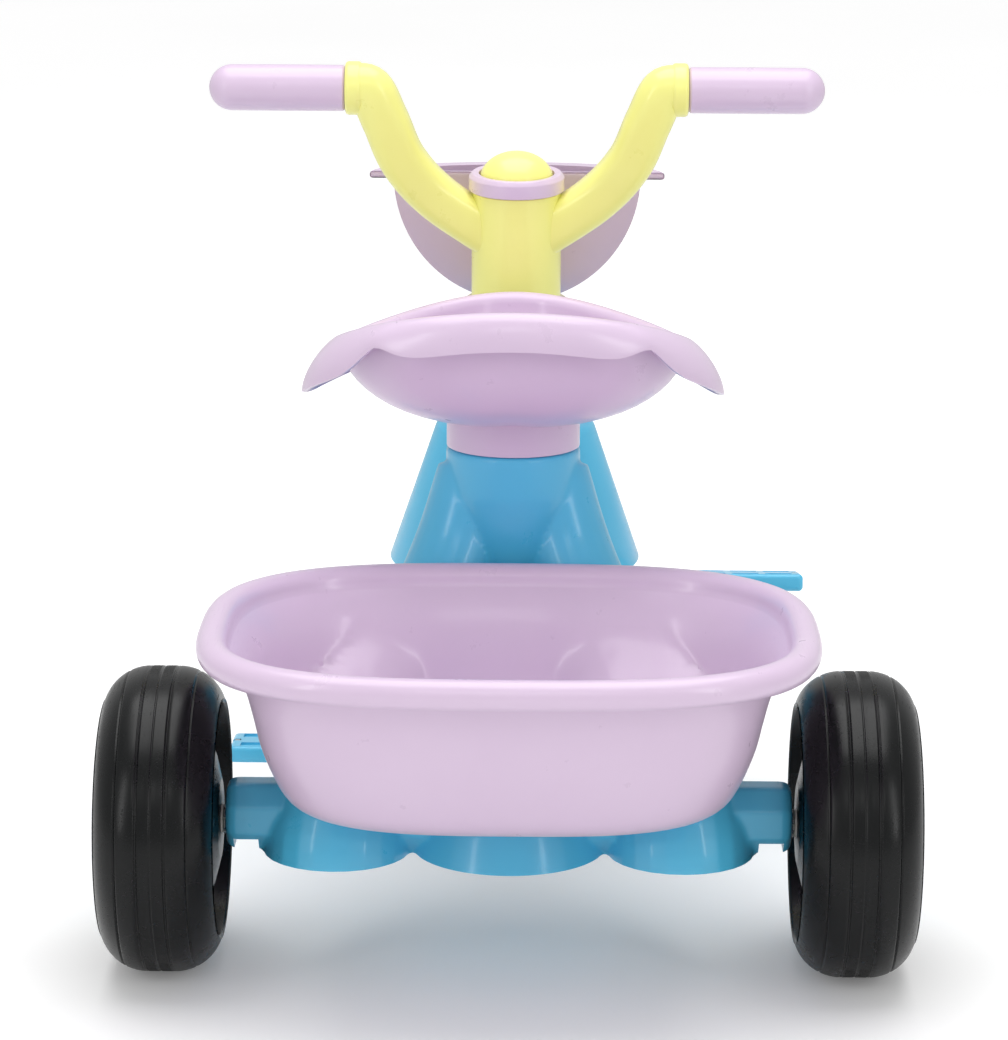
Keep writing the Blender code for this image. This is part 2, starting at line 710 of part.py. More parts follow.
def make_fork():
    fork = cone("fork", bell_hem_radius, bell_top_radius, bell_hem, bell_top, steering, material=sky_blue,
                broaden=bell_broadening, bevel=0.004)
    slope = (bell_hem_radius - bell_top_radius) / (bell_top - bell_hem)
    below = 0.02
    ceiling = bell_top - 0.008
    hollow = cone("bell_hollow", bell_hem_radius + slope * below - frame_wall,
                  bell_top_radius + slope * (bell_top - ceiling) - frame_wall, bell_hem - below, ceiling,
                  steering, broaden=bell_broadening, cutter=True)
    cut(fork, hollow)
    corner_radius = sqrt(((leg_inner_x + leg_thickness) / bell_broadening) ** 2 + leg_half_width ** 2)
    leg_top = bell_hem + (bell_hem_radius - corner_radius) / slope - 0.003
    for name, side in sides.items():
        low, high = sorted((side * leg_inner_x, side * (leg_inner_x + leg_thickness)))
        rib_low, rib_high = sorted((side * leg_inner_x, side * (leg_inner_x + leg_thickness / 2)))
        join(fork,
             box(f"fork_leg_{name}", (low, -leg_half_width, gap), (high, leg_half_width, leg_top), steering,
                 bevel=0.002),
             box(f"fork_rib_{name}", (rib_low, -leg_half_width / 2, bell_hem),
                 (rib_high, leg_half_width / 2, ceiling + 0.002), steering))
    spigot_radius = column_radius - column_wall - gap
    join(fork, cylinder("fork_spigot", spigot_radius, ceiling + 0.002, head_top - 0.010, steering,
                        steps=large_steps))
    cut(fork,
        cylinder("fork_bolt_hole", bolt_radius + gap, 0.0, 0.4, steering, cutter=True),
        cylinder("fork_axle_seat", crank_rod_radius + running, -0.08, 0.08, steering, along_x=True,
                 cutter=True))
    return fork


def half_clamp(name, side):
    """The cap that closes a fork leg under the crank."""
    clamp = cylinder(f"fork_clamp_{name}", leg_half_width, leg_inner_x + 0.001,
                     leg_inner_x + leg_thickness - 0.001, steering, sky_blue, large_steps, True)
    if side < 0:
        clamp.location.x = -(2 * leg_inner_x + leg_thickness)
    cut(clamp,
        box(f"clamp_trim_{name}", (-0.1, -0.1, -gap), (0.1, 0.1, 0.1), steering, cutter=True),
        cylinder(f"clamp_bore_{name}", crank_rod_radius + running, -0.08, 0.08, steering, along_x=True,
                 cutter=True))
    return clamp


def make_clamps(fork):
    """The clamps and their screws, which go up into the legs on both sides of the crank."""
    radius = 0.0015
    low, high, spread = -0.0165, 0.014, 0.0125
    head = 0.0032
    profile = [(0, high), (radius, high), (radius, low), (head, low), (head, low - 0.0018), (0, low - 0.0018)]
    for name, side in sides.items():
        clamp = half_clamp(name, side)
        x = side * (leg_inner_x + leg_thickness / 2)
        for place, y in (("rear", -spread), ("front", spread)):
            turned(f"clamp_screw_{name}_{place}", profile, steering, steel, small_steps - 6, at=(x, y, 0))
            drill = cylinder(f"clamp_hole_{name}_{place}", radius + gap, low - 0.0001, high + 0.002, steering,
                             at=(x, y, 0), cutter=True)
            recess = cylinder(f"clamp_recess_{name}_{place}", head + gap, -0.03, low + gap, steering,
                              at=(x, y, 0), cutter=True)
            cut(fork, drill)
            cut(clamp, drill, recess)


def make_bushes():
    bore = column_radius + running
    outside = bore + bush_wall
    flange = head_radius - 0.0005
    reach = 0.018
    upper = [(flange, head_top + gap + bush_flange), (flange, head_top + gap), (outside, head_top + gap),
             (outside, head_top - reach), (bore, head_top - reach), (bore, head_top + gap + bush_flange)]
    lower = [(outside, head_bottom + reach), (outside, head_bottom - gap), (flange, head_bottom - gap),
             (flange, head_bottom - gap - bush_flange), (bore, head_bottom - gap - bush_flange),
             (bore, head_bottom + reach)]
    turned("head_bush_upper", upper, steering, nylon)
    turned("head_bush_lower", lower, steering, nylon)


def arm_stations(side):
    """The bar sweeps out of the column and up to the level of the grips."""
    root_z = front_wheel_radius + (column_top - 0.030) * cos(rake)
    rise = bar_height - root_z
    root_y = unsteered(0, 0, column_top - 0.030).y
    path = [(0.012, root_y, root_z - 0.004), (0.051, blend(root_y, bar_y, 0.2), root_z + 0.24 * rise),
            (0.074, blend(root_y, bar_y, 0.5), root_z + 0.50 * rise),
            (0.086, blend(root_y, bar_y, 0.8), root_z + 0.78 * rise),
            (bar_half_root - 0.005, bar_y, bar_height - 0.0015), (bar_half_root + 0.007, bar_y, bar_height)]
    radii = (arm_radius + 0.001, arm_radius + 0.001) + (arm_radius,) * 4
    return [(steered(side * x, y, z), radius) for (x, y, z), radius in zip(path, radii)]


def make_handlebar():
    bottom = bell_top + gap
    web = column_top - 0.032
    bore = column_radius - column_wall
    chamber = ring_bore + 0.0013
    profile = [(column_radius, column_top), (column_radius, bottom), (bore, bottom), (bore, web - 0.005),
               (bolt_radius + gap, web - 0.005), (bolt_radius + gap, web), (chamber, web), (chamber, column_top)]
    bar = turned("handlebar", profile, steering, yellow)
    grip_line = steered(0, bar_y, bar_height)
    hollow = cylinder("column_hollow", chamber - 0.0002, web, column_top + 0.05, steering, steps=large_steps,
                      cutter=True)
    for name, side in sides.items():
        collar_low, collar_high = sorted((side * bar_half_root, side * (bar_half_root + collar_length)))
        spigot_end = side * (bar_half_root + collar_length + grip_length - 0.008)
        low, high = sorted((side * (bar_half_root + 0.002), spigot_end))
        at = (0, grip_line.y, grip_line.z)
        collar = cylinder(f"arm_collar_{name}", collar_radius, collar_low, collar_high, steering,
                          steps=large_steps - 8, along_x=True, at=at)
        edges = collar.modifiers.new("edges", "BEVEL")
        edges.width = 0.002
        edges.segments = 2
        edges.limit_method = "ANGLE"
        edges.angle_limit = radians(50)
        join(bar, flared_tube(f"arm_{name}", arm_stations(side), steering), collar,
             cylinder(f"arm_spigot_{name}", grip_bore_radius - gap, low, high, steering, along_x=True,
                      at=at))
    cut(bar, hollow,
        cylinder("column_bore", bore - 0.0002, bottom - 0.01, web - 0.0052, steering, steps=large_steps,
                 cutter=True))
    return bar


def make_grips():
    line = steered(0, bar_y, bar_height)
    start = bar_half_root + collar_length + gap
    end = bar_half_root + collar_length + grip_length
    nose = [(grip_radius * sin(radians(turn)), end - grip_radius * (1 - cos(radians(turn))))
            for turn in (0, 25, 45, 65, 90)]
    profile = nose + [(grip_radius, start), (grip_bore_radius, start), (grip_bore_radius, end - 0.006),
                      (0, end - 0.006)]
    for name, side in sides.items():
        outline = profile if side > 0 else [(radius, -x) for radius, x in reversed(profile)]
        turned(f"grip_{name}", outline, steering, lilac, small_steps + 4, along_x=True,
               at=(0, line.y, line.z))


def make_cowl():
    """Cap ring on the column, with a half-round bin and its thin broad rim in front of it."""
    bottom = column_top + gap
    top = bottom + ring_height
    profile = [(ring_bore + 0.003, top), (ring_radius - 0.001, top - 0.0015), (ring_radius, top - 0.004),
               (ring_radius, bottom), (ring_bore, bottom), (ring_bore, top - 0.0025)]
    cowl = turned("cowl", profile, steering, lilac)
    shelf_z = bottom - 0.001
    front = head_radius + 0.002
    shelf = cone("cowl_shelf", 0.033, 0.033, shelf_z, shelf_z + 0.0045, steering, at=(0, front),
                 steps=large_steps, broaden=3.0)
    halve = box("shelf_trim", (-0.2, -0.2, shelf_z - 0.01), (0.2, front, shelf_z + 0.02), steering,
                cutter=True)
    cut(shelf, halve)
    bin_shape = (0.083, 0.026, 0.087)
    bin_wall = 0.003
    shells = []
    for shell, inset in (("cowl_bin", 0.0), ("cowl_bin_hollow", bin_wall)):
        bm = bmesh.new()
        bmesh.ops.create_uvsphere(bm, u_segments=24, v_segments=12, radius=1)
        bmesh.ops.scale(bm, vec=[size - inset for size in bin_shape], verts=bm.verts)
        bmesh.ops.translate(bm, vec=(0, front, shelf_z + 0.002), verts=bm.verts)
        body = mesh_object(shell, bm, steering, cutter=bool(inset))
        cut(body, box(shell + "_back", (-0.2, -0.2, shelf_z - 0.1), (0.2, front + inset, shelf_z + 0.1),
                      steering, cutter=True))
        shells.append(body)
    bowl, hollow = shells
    cut(bowl, box("cowl_bin_top", (-0.2, -0.1, shelf_z + 0.002), (0.2, 0.2, shelf_z + 0.1), steering,
                  cutter=True))
    bridge = box("cowl_bridge", (-0.020, column_radius + 0.0008, shelf_z + 0.0005),
                 (0.020, front + 0.006, top - 0.004), steering)
    join(cowl, bridge, shelf, bowl)
    cut(cowl, hollow)
    return cowl


def make_horn():
    """Press button in the cap ring, over a rubber bellows."""
    under = -gap
    dome = [(0, button_height)]
    for turn in (30, 60, 90):
        dome.append((0.0245 * sin(radians(turn)), 0.007 + (button_height - 0.007) * cos(radians(turn))))
    flange = ring_bore + 0.0008
    profile = dome + [(0.0245, under), (flange, under), (flange, under - 0.003), (0.021, under - 0.003),
                      (0.021, 0.007), (0.012, 0.018), (0, 0.021)]
    turned("horn_button", profile, button_frame, yellow)
    web = column_top - 0.032
    pleats = [(0.0175, web + 0.020), (0.0175, web + 0.0185)]
    for fold in range(2):
        height = web + 0.0155 - 0.006 * fold
        pleats += [(0.0135, height), (0.0175, height - 0.003)]
    profile = [(0.008, web + 0.022)] + pleats + [(0.0175, web + gap), (0.010, web + gap), (0.010, web + 0.018),
                                               (0.008, web + 0.019)]
    turned("horn_bellows", profile, steering, rubber, small_steps)


def make_steering_bolt():
    web = column_top - 0.032
    ceiling = bell_top - 0.008
    head = web + gap
    turned("steering_bolt", [(0, head + 0.0055), (0.0065, head + 0.0055), (0.0075, head + 0.004),
                             (0.0075, head), (bolt_radius, head), (bolt_radius, ceiling - 0.013),
                             (0, ceiling - 0.013)], steering, steel, small_steps)
    ring("steering_washer", 0.010, bolt_radius + gap, ceiling - gap - 0.0015, ceiling - gap, steering, steel)
    nut = cylinder("steering_nut", 0.0078, ceiling - 2 * gap - 0.0085, ceiling - 2 * gap - 0.0015, steering,
                   steel, 6)
    cut(nut, cylinder("nut_bore", bolt_radius + gap, 0, 0.4, steering, cutter=True))


# Front wheel, crank and pedals


def bent_rod(points, bend, steps=4):
    """Points of a rod with its corners rounded."""
    path = [Vector(points[0])]
    for before, corner, after in zip(points, points[1:], points[2:]):
        before, corner, after = Vector(before), Vector(corner), Vector(after)
        enter = corner + (before - corner).normalized() * bend
        leave = corner + (after - corner).normalized() * bend
        for i in range(steps + 1):
            share = i / steps
            path.append(enter.lerp(corner, share).lerp(corner.lerp(leave, share), share))
    return path + [Vector(points[-1])]


def make_front_wheel():
    turned("front_wheel", wheel_profile(front_wheel_radius, front_wheel_width, *(hub_face_outer,) * 2),
           front_wheel_frame, black, large_steps, along_x=True)
    reach = leg_inner_x - 0.0005
    hub_bore = crank_rod_radius + gap
    turned("front_hub", [(hub_radius - gap, reach), (hub_radius - gap, -reach), (hub_bore, -reach),
                         (hub_bore, reach)], front_wheel_frame, nylon, small_steps, along_x=True)
    arm_x = leg_inner_x + leg_thickness + 0.021
    end_x = pedal_inner_x + pedal_length - 0.006
    corners = [(-end_x, 0, -crank_throw), (-arm_x, 0, -crank_throw), (-arm_x, 0, 0), (arm_x, 0, 0),
               (arm_x, 0, crank_throw), (end_x, 0, crank_throw)]
    curve = bpy.data.curves.new("crank", "CURVE")
    curve.dimensions = "3D"
    curve.bevel_depth = crank_rod_radius
    curve.bevel_resolution = 2
    curve.use_fill_caps = True
    spline = curve.splines.new("POLY")
    path = bent_rod(corners, 0.012)
    spline.points.add(len(path) - 1)
    for knot, point in zip(spline.points, path):
        knot.co = (*point, 1)
    add_object("crank", curve, front_wheel_frame, steel)


def make_pedals():
    for name, side in sides.items():
        frame = pedal_frames[name]
        low, high = sorted((side * pedal_inner_x, side * (pedal_inner_x + pedal_length)))
        pedal = box(f"pedal_{name}", (low, -pedal_depth / 2, -pedal_thickness / 2),
                    (high, pedal_depth / 2, pedal_thickness / 2), frame, sky_blue, bevel=0.003)
        pockets = bmesh.new()
        pocket_size = (0.018, 0.011, 0.004)
        for column in range(4):
            for row in (-1, 1):
                for face in (-1, 1):
                    x = (low + high) / 2 + (column - 1.5) * 0.0225
                    place = Matrix.Translation((x, row * 0.0150, face * (pedal_thickness / 2)))
                    bmesh.ops.create_cube(pockets, size=1,
                                          matrix=place @ Matrix.Diagonal((*pocket_size, 1)))
        cut(pedal, mesh_object(f"pedal_pockets_{name}", pockets, frame, cutter=True))
        recess_low, recess_high = sorted((side * (pedal_inner_x + pedal_length - 0.0063),
                                          side * (pedal_inner_x + pedal_length + 0.01)))
        bore_low, bore_high = sorted((side * (pedal_inner_x - 0.01), side * (pedal_inner_x + pedal_length)))
        cut(pedal,
            cylinder(f"pedal_bore_{name}", crank_rod_radius + running, bore_low, bore_high, frame,
                     along_x=True, cutter=True),
            cylinder(f"pedal_recess_{name}", 0.0063, recess_low, recess_high, frame, along_x=True,
                     cutter=True))
        cap_low, cap_high = sorted((side * (pedal_inner_x + pedal_length - 0.006 + gap),
                                    side * (pedal_inner_x + pedal_length - 0.002)))
        cap = cylinder(f"pedal_stop_{name}", 0.0059, cap_low, cap_high, front_wheel_frame, steel,
                       along_x=True)
        cap.location = (0, 0, side * crank_throw)


main_frame = make_frame()
make_bushes()
tub = make_basket()
make_basket_screws(tub, main_frame)
make_seat()
make_rear_end()
main_fork = make_fork()
make_clamps(main_fork)
make_handlebar()
make_grips()
make_cowl()
make_horn()
make_steering_bolt()
make_front_wheel()
make_pedals()
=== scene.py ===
import json
import math
from math import cos, exp, log, pi, radians, sin, sqrt

import bpy
from mathutils import Matrix, Vector


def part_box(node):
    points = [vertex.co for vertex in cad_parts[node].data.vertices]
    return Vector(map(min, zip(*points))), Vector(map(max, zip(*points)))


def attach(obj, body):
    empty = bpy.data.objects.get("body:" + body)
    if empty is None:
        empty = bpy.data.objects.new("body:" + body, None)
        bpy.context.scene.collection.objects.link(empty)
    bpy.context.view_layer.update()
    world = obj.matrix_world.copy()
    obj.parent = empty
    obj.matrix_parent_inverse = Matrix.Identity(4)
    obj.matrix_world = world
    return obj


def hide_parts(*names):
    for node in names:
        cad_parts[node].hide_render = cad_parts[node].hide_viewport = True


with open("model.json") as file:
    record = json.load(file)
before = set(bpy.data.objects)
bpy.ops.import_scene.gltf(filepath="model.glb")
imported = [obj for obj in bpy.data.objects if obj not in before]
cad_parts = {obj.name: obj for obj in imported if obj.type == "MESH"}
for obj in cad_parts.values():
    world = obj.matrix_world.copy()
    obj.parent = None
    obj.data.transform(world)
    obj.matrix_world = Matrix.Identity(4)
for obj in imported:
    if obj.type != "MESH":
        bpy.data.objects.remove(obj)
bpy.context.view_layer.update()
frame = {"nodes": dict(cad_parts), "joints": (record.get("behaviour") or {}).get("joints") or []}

# Sizes are in metres, +Y is forward and +X is to the rider's right.
# Pieces that steer are made upright round the front axle, then leaned back by the rake.


def centreOf(node):
    low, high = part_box(node)
    return (low + high) / 2


rearAxle = centreOf("rear_axle")
frontAxle = centreOf("front_hub")
towerCentre = centreOf("seat_screw")
basketLow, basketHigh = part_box("basket")
steeringTurn = next(joint for joint in frame["joints"] if joint["name"] == "steering_turn")
rake = math.atan2(-steeringTurn["axis"][1], steeringTurn["axis"][2])
steeringPlace = Matrix.Translation(frontAxle) @ Matrix.Rotation(rake, 4, "X")
sides = {"left": -1, "right": 1}


# Selecting, shaping and finishing


def pick(*pieces):
    if bpy.context.mode != "OBJECT":
        bpy.ops.object.mode_set(mode="OBJECT")
    bpy.ops.object.select_all(action="DESELECT")
    for piece in pieces:
        piece.select_set(True)
        bpy.context.view_layer.objects.active = piece


def startEdit(piece, select="SELECT", by="FACE"):
    pick(piece)
    bpy.ops.object.mode_set(mode="EDIT")
    bpy.ops.mesh.select_mode(type=by)
    bpy.ops.mesh.select_all(action=select)


def endEdit():
    bpy.ops.object.mode_set(mode="OBJECT")


def selectWhere(piece, test, by="FACE"):
    # Faces or edges are chosen by their place or normal, in object mode, then edit mode starts.
    startEdit(piece, "DESELECT", by)
    endEdit()
    mesh = piece.data
    if by == "FACE":
        for face in mesh.polygons:
            face.select = test(face.center, face.normal)
    elif by == "EDGE":
        for edge in mesh.edges:
            edge.select = all(test(mesh.vertices[i].co) for i in edge.vertices)
    bpy.ops.object.mode_set(mode="EDIT")


def weld(piece, gap=0.000002):
    startEdit(piece)
    bpy.ops.mesh.remove_doubles(threshold=gap)
    bpy.ops.mesh.delete_loose(use_verts=True, use_edges=True, use_faces=False)
    bpy.ops.mesh.select_all(action="SELECT")
    bpy.ops.mesh.normals_make_consistent(inside=False)
    endEdit()


def settle(piece, place=None):
    pick(piece)
    bpy.ops.object.transform_apply(location=True, rotation=True, scale=True)
    if place:
        piece.data.transform(place)
    return piece


def applyAll(piece):
    pick(piece)
    for modifier in list(piece.modifiers):
        bpy.ops.object.modifier_apply(modifier=modifier.name)


def boolean(piece, operation, *tools, solver="MANIFOLD"):
    for tool in tools:
        modifier = piece.modifiers.new("boolean", "BOOLEAN")
        modifier.operation = operation
        modifier.solver = solver
        modifier.object = tool
        applyAll(piece)
        bpy.data.objects.remove(tool)
    return piece


def join(piece, *tools, solver="MANIFOLD"):
    return boolean(piece, "UNION", *tools, solver=solver)


def cut(piece, *tools, solver="MANIFOLD"):
    return boolean(piece, "DIFFERENCE", *tools, solver=solver)


def bevelEdges(piece, width, segments=3, angle=40):
    bevel = piece.modifiers.new("edges", "BEVEL")
    bevel.width = width
    bevel.segments = segments
    bevel.limit_method = "ANGLE"
    bevel.angle_limit = radians(angle)
    applyAll(piece)
    return piece


def block(name, low, high, width=0.0, segments=3):
    low, high = Vector(low), Vector(high)
    pick()
    bpy.ops.mesh.primitive_cube_add(size=1, location=(low + high) / 2)
    piece = bpy.context.object
    piece.name = name
    piece.scale = high - low
    settle(piece)
    return bevelEdges(piece, width, segments) if width else piece


def rod(name, radius, low, high, axis="Z", at=(0, 0, 0), vertices=64, width=0.0):
    # A cylinder from low to high along an axis, its end edges rounded by width.
    pick()
    bpy.ops.mesh.primitive_cylinder_add(vertices=vertices, radius=radius, depth=high - low)
    piece = bpy.context.object
    piece.name = name
    middle = Vector((0, 0, (low + high) / 2))
    turn = Matrix.Rotation(pi / 2, 4, "Y") if axis == "X" else Matrix.Identity(4)
    piece.data.transform(Matrix.Translation(at) @ turn @ Matrix.Translation(middle))
    return bevelEdges(piece, width) if width else piece


def rounded(corners, steps=5):
    # Points (radius, along) of an outline whose corners (radius, along, fillet) are rounded.
    points = []
    for i, (radius, along, fillet) in enumerate(corners):
        here = Vector((radius, along))
        if not fillet:
            points.append(here)
            continue
        before = Vector(corners[i - 1][:2]) - here
        after = Vector(corners[(i + 1) % len(corners)][:2]) - here
        half = before.angle(after) / 2
        reach = min(fillet / math.tan(half), 0.49 * before.length, 0.49 * after.length)
        middle = here + (before.normalized() + after.normalized()).normalized() * reach / cos(half)
        start = here + before.normalized() * reach - middle
        end = here + after.normalized() * reach - middle
        for step in range(steps + 1):
            share = step / steps
            points.append(middle + start.lerp(end, share).normalized() * start.length)
    return points


def spun(name, section, axis="Z", at=(0, 0, 0), steps=96):
    # A circle laid on the section (radius, along) and spun about the axis through a point.
    pick()
    bpy.ops.mesh.primitive_circle_add(vertices=len(section), radius=0.01)
    piece = bpy.context.object
    piece.name = name
    for vertex, (radius, along) in zip(piece.data.vertices, section):
        vertex.co = Vector(at) + (Vector((along, 0, radius)) if axis == "X" else Vector((radius, 0, along)))
    startEdit(piece, by="VERT")
    direction = (1, 0, 0) if axis == "X" else (0, 0, 1)
    bpy.ops.mesh.spin(steps=steps, angle=2 * pi, center=at, axis=direction)
    weld(piece)
    return piece


def rolled(name, place, around, rows, shut=True):
    # A grid rolled up by a rule: place(u, v) gives the point, u runs round and v runs along.
    pick()
    bpy.ops.mesh.primitive_grid_add(x_subdivisions=around, y_subdivisions=rows, size=1)
    piece = bpy.context.object
    piece.name = name
    for vertex in piece.data.vertices:
        vertex.co = place(vertex.co.x + 0.5, vertex.co.y + 0.5)
    weld(piece, 0.00001)
    if shut:
        startEdit(piece, by="EDGE", select="DESELECT")
        bpy.ops.mesh.select_non_manifold(extend=False)
        bpy.ops.mesh.edge_face_add()
        endEdit()
        weld(piece, 0.00001)
    return piece


def tube(name, stations, smoothness=10, ringPoints=11):
    # A closed tube on a smooth curve through stations (point, radius).
    pick()
    bpy.ops.curve.primitive_bezier_curve_add()
    guide = bpy.context.object
    guide.name = name
    curve = guide.data
    curve.bevel_depth = 0.01
    curve.bevel_resolution = ringPoints
    curve.use_fill_caps = True
    curve.resolution_u = smoothness
    knots = curve.splines[0].bezier_points
    knots.add(len(stations) - len(knots))
    for knot, (point, radius) in zip(knots, stations):
        knot.co = point
        knot.radius = radius / curve.bevel_depth
        knot.handle_left_type = knot.handle_right_type = "AUTO"
    pick(guide)
    bpy.ops.object.convert(target="MESH")
    piece = bpy.context.object
    weld(piece)
    return piece


def blend(low, high, share):
    return low + (high - low) * share


def alongLine(stations, share):
    # A smooth line through every station, by its share from 0 to 1
    spans = len(stations) - 1
    i = min(int(share * spans), spans - 1)
    t = share * spans - i
    a, b = Vector(stations[max(i - 1, 0)]), Vector(stations[i])
    c, d = Vector(stations[i + 1]), Vector(stations[min(i + 2, spans)])
    bend = (2 * a - 5 * b + 4 * c - d) * t * t
    twist = (3 * b - a - 3 * c + d) * t ** 3
    return 0.5 * ((2 * b) + (c - a) * t + bend + twist)


def closeHole(piece, isRim, around):
    # Fills the open edge whose points pass the test, and turns the lowest face down.
    counts = {}
    for face in piece.data.polygons:
        for key in face.edge_keys:
            counts[key] = counts.get(key, 0) + 1
    startEdit(piece, "DESELECT", "EDGE")
    endEdit()
    points = piece.data.vertices
    for edge in piece.data.edges:
        edge.select = counts[edge.key] == 1 and all(isRim(points[i].co) for i in edge.vertices)
    bpy.ops.object.mode_set(mode="EDIT")
    bpy.ops.mesh.fill_grid(span=around // 4)
    bpy.ops.mesh.select_all(action="SELECT")
    bpy.ops.mesh.normals_make_consistent(inside=False)
    endEdit()
    lowest = min(piece.data.polygons, key=lambda face: face.center.z)
    if lowest.normal.z > 0:
        startEdit(piece)
        bpy.ops.mesh.flip_normals()
        endEdit()


def thickened(piece, wall):
    solid = piece.modifiers.new("wall", "SOLIDIFY")
    solid.thickness = wall
    solid.offset = -1
    applyAll(piece)
    return piece


def remeshed(piece, voxel, smoothing):
    # Shapes that overlap become one skin, and the smoothing leaves a small fillet where they meet.
    skin = piece.modifiers.new("skin", "REMESH")
    skin.mode = "VOXEL"
    skin.voxel_size = voxel
    soften = piece.modifiers.new("soften", "SMOOTH")
    soften.factor = 0.5
    soften.iterations = smoothing
    applyAll(piece)
    return piece


def fuse(name, *pieces):
    pick(*pieces)
    bpy.ops.object.join()
    piece = bpy.context.object
    piece.name = name
    return piece


def copyOf(piece, name, move=(0, 0, 0), mirror=False):
    other = piece.copy()
    other.data = piece.data.copy()
    other.name = name
    bpy.context.scene.collection.objects.link(other)
    if mirror:
        other.data.transform(Matrix.Diagonal((-1, 1, 1, 1)))
        weld(other)
    other.data.transform(Matrix.Translation(move))
    return other


def finish(piece, body, material, slot, *nodes, angle=35):
    piece.data.materials.clear()
    piece.data.materials.append(material)
    pick(piece)
    bpy.ops.object.shade_smooth_by_angle(angle=radians(angle))
    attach(piece, body)
    if nodes:
        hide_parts(*nodes)
    return piece


# Materials


def fromHex(code):
    # sRGB hex to linear.
    parts = [int(code[i:i + 2], 16) / 255 for i in (0, 2, 4)]
    return [part / 12.92 if part <= 0.04045 else ((part + 0.055) / 1.055) ** 2.4 for part in parts] + [1.0]


def addNode(tree, kind, settings=None, **inputs):
    # Adds a node. An input is a value or another node's output.
    node = tree.nodes.new(kind)
    for name, value in (settings or {}).items():
        setattr(node, name, value)
    for name, value in inputs.items():
        name = name.replace("_", " ")
        socket = node.inputs[name] if name in node.inputs else node.inputs[int(name[2:])]
        if isinstance(value, bpy.types.NodeSocket):
            tree.links.new(value, socket)
        else:
            socket.default_value = value
    return node


def newMaterial(name):
    material = bpy.data.materials.new(name)
    material.use_nodes = True
    tree = material.node_tree
    where = tree.nodes.new("ShaderNodeTexCoord").outputs["Object"]
    return material, tree, tree.nodes["Principled BSDF"], where


def remap(tree, value, low, high, toLow, toHigh):
    return addNode(tree, "ShaderNodeMapRange", None, Value=value, From_Min=low, From_Max=high,
                   To_Min=toLow, To_Max=toHigh).outputs["Result"]


def noise(tree, where, wavelength, detail=2.0, roughness=0.5):
    # Noise whose patches are about a wavelength across.
    return addNode(tree, "ShaderNodeTexNoise", None, Vector=where, Scale=1 / wavelength, Detail=detail,
                   Roughness=roughness).outputs["Fac"]


def scratches(tree, where, spacing, stretch, turn):
    # Fine straight marks: noise drawn out along one direction, with only its crests left.
    laid = addNode(tree, "ShaderNodeMapping", None, Vector=where, Rotation=(0.4, turn, turn * 1.7),
                   Scale=(1, 1 / stretch, 1)).outputs["Vector"]
    return remap(tree, noise(tree, laid, spacing, 1.0), 0.66, 0.72, 0.0, 1.0)


def mouldedPlastic(name, mainHex, deepHex, roughness, gloss, peel, scuff, sheenOfMould=0.25):
    # Polypropylene from a polished mould: even colour with faint flow marks, a slight orange peel
    # 2 to 3 mm across, handling scratches a few centimetres long and a little dust in the gloss.
    material, tree, shader, where = newMaterial(name)
    flow = remap(tree, noise(tree, where, 0.07, 3.0), 0.35, 0.65, 0.0, sheenOfMould)
    colour = addNode(tree, "ShaderNodeMix", {"data_type": "RGBA"}, Factor=flow, in6=fromHex(mainHex),
                     in7=fromHex(deepHex)).outputs[2]
    tree.links.new(colour, shader.inputs["Base Color"])
    marks = addNode(tree, "ShaderNodeMath", {"operation": "MAXIMUM"},
                    in0=scratches(tree, where, 0.0011, 26, 0.5),
                    in1=scratches(tree, where, 0.0014, 20, 2.1)).outputs[0]
    haze = remap(tree, noise(tree, where, 0.018, 4.0, 0.6), 0.3, 0.7, roughness - 0.03, roughness + 0.04)
    worn = addNode(tree, "ShaderNodeMath", {"operation": "MULTIPLY_ADD"},
                   in0=marks, in1=scuff, in2=haze).outputs[0]
    tree.links.new(worn, shader.inputs["Roughness"])
    skin = addNode(tree, "ShaderNodeBump", None, Strength=peel, Distance=0.0002,
                   Height=noise(tree, where, 0.0026, 1.0)).outputs["Normal"]
    grain = addNode(tree, "ShaderNodeBump", None, Strength=0.05, Distance=0.0001,
                    Height=noise(tree, where, 0.0007), Normal=skin).outputs["Normal"]
    tree.links.new(grain, shader.inputs["Normal"])
    shader.inputs["IOR"].default_value = 1.49
    shader.inputs["Coat Weight"].default_value = gloss
    shader.inputs["Coat Roughness"].default_value = 0.12
    shader.inputs["Coat IOR"].default_value = 1.45
    return material


def blownTyrePlastic():
    # Black polyethylene blown in a sand-blasted mould: satin, with a matt grain about a millimetre
    # across, softer patches where hands and floors have rubbed it, and pale dust.
    material, tree, shader, where = newMaterial("blownPolyethylene")
    dust = remap(tree, noise(tree, where, 0.0035, 6.0, 0.7), 0.55, 0.8, 0.0, 0.35)
    colour = addNode(tree, "ShaderNodeMix", {"data_type": "RGBA"}, Factor=dust, in6=fromHex("040607"),
                     in7=fromHex("0d1113")).outputs[2]
    tree.links.new(colour, shader.inputs["Base Color"])
    patches = remap(tree, noise(tree, where, 0.03, 3.0), 0.3, 0.7, 0.24, 0.31)
    worn = addNode(tree, "ShaderNodeMath", {"operation": "MULTIPLY_ADD"},
                   in0=scratches(tree, where, 0.0013, 18, 1.2),
                   in1=0.16, in2=patches).outputs[0]
    tree.links.new(worn, shader.inputs["Roughness"])
    grain = addNode(tree, "ShaderNodeBump", None, Strength=0.16, Distance=0.0002,
                    Height=noise(tree, where, 0.0011, 3.0, 0.6)).outputs["Normal"]
    tree.links.new(grain, shader.inputs["Normal"])
    shader.inputs["IOR"].default_value = 1.35
    return material


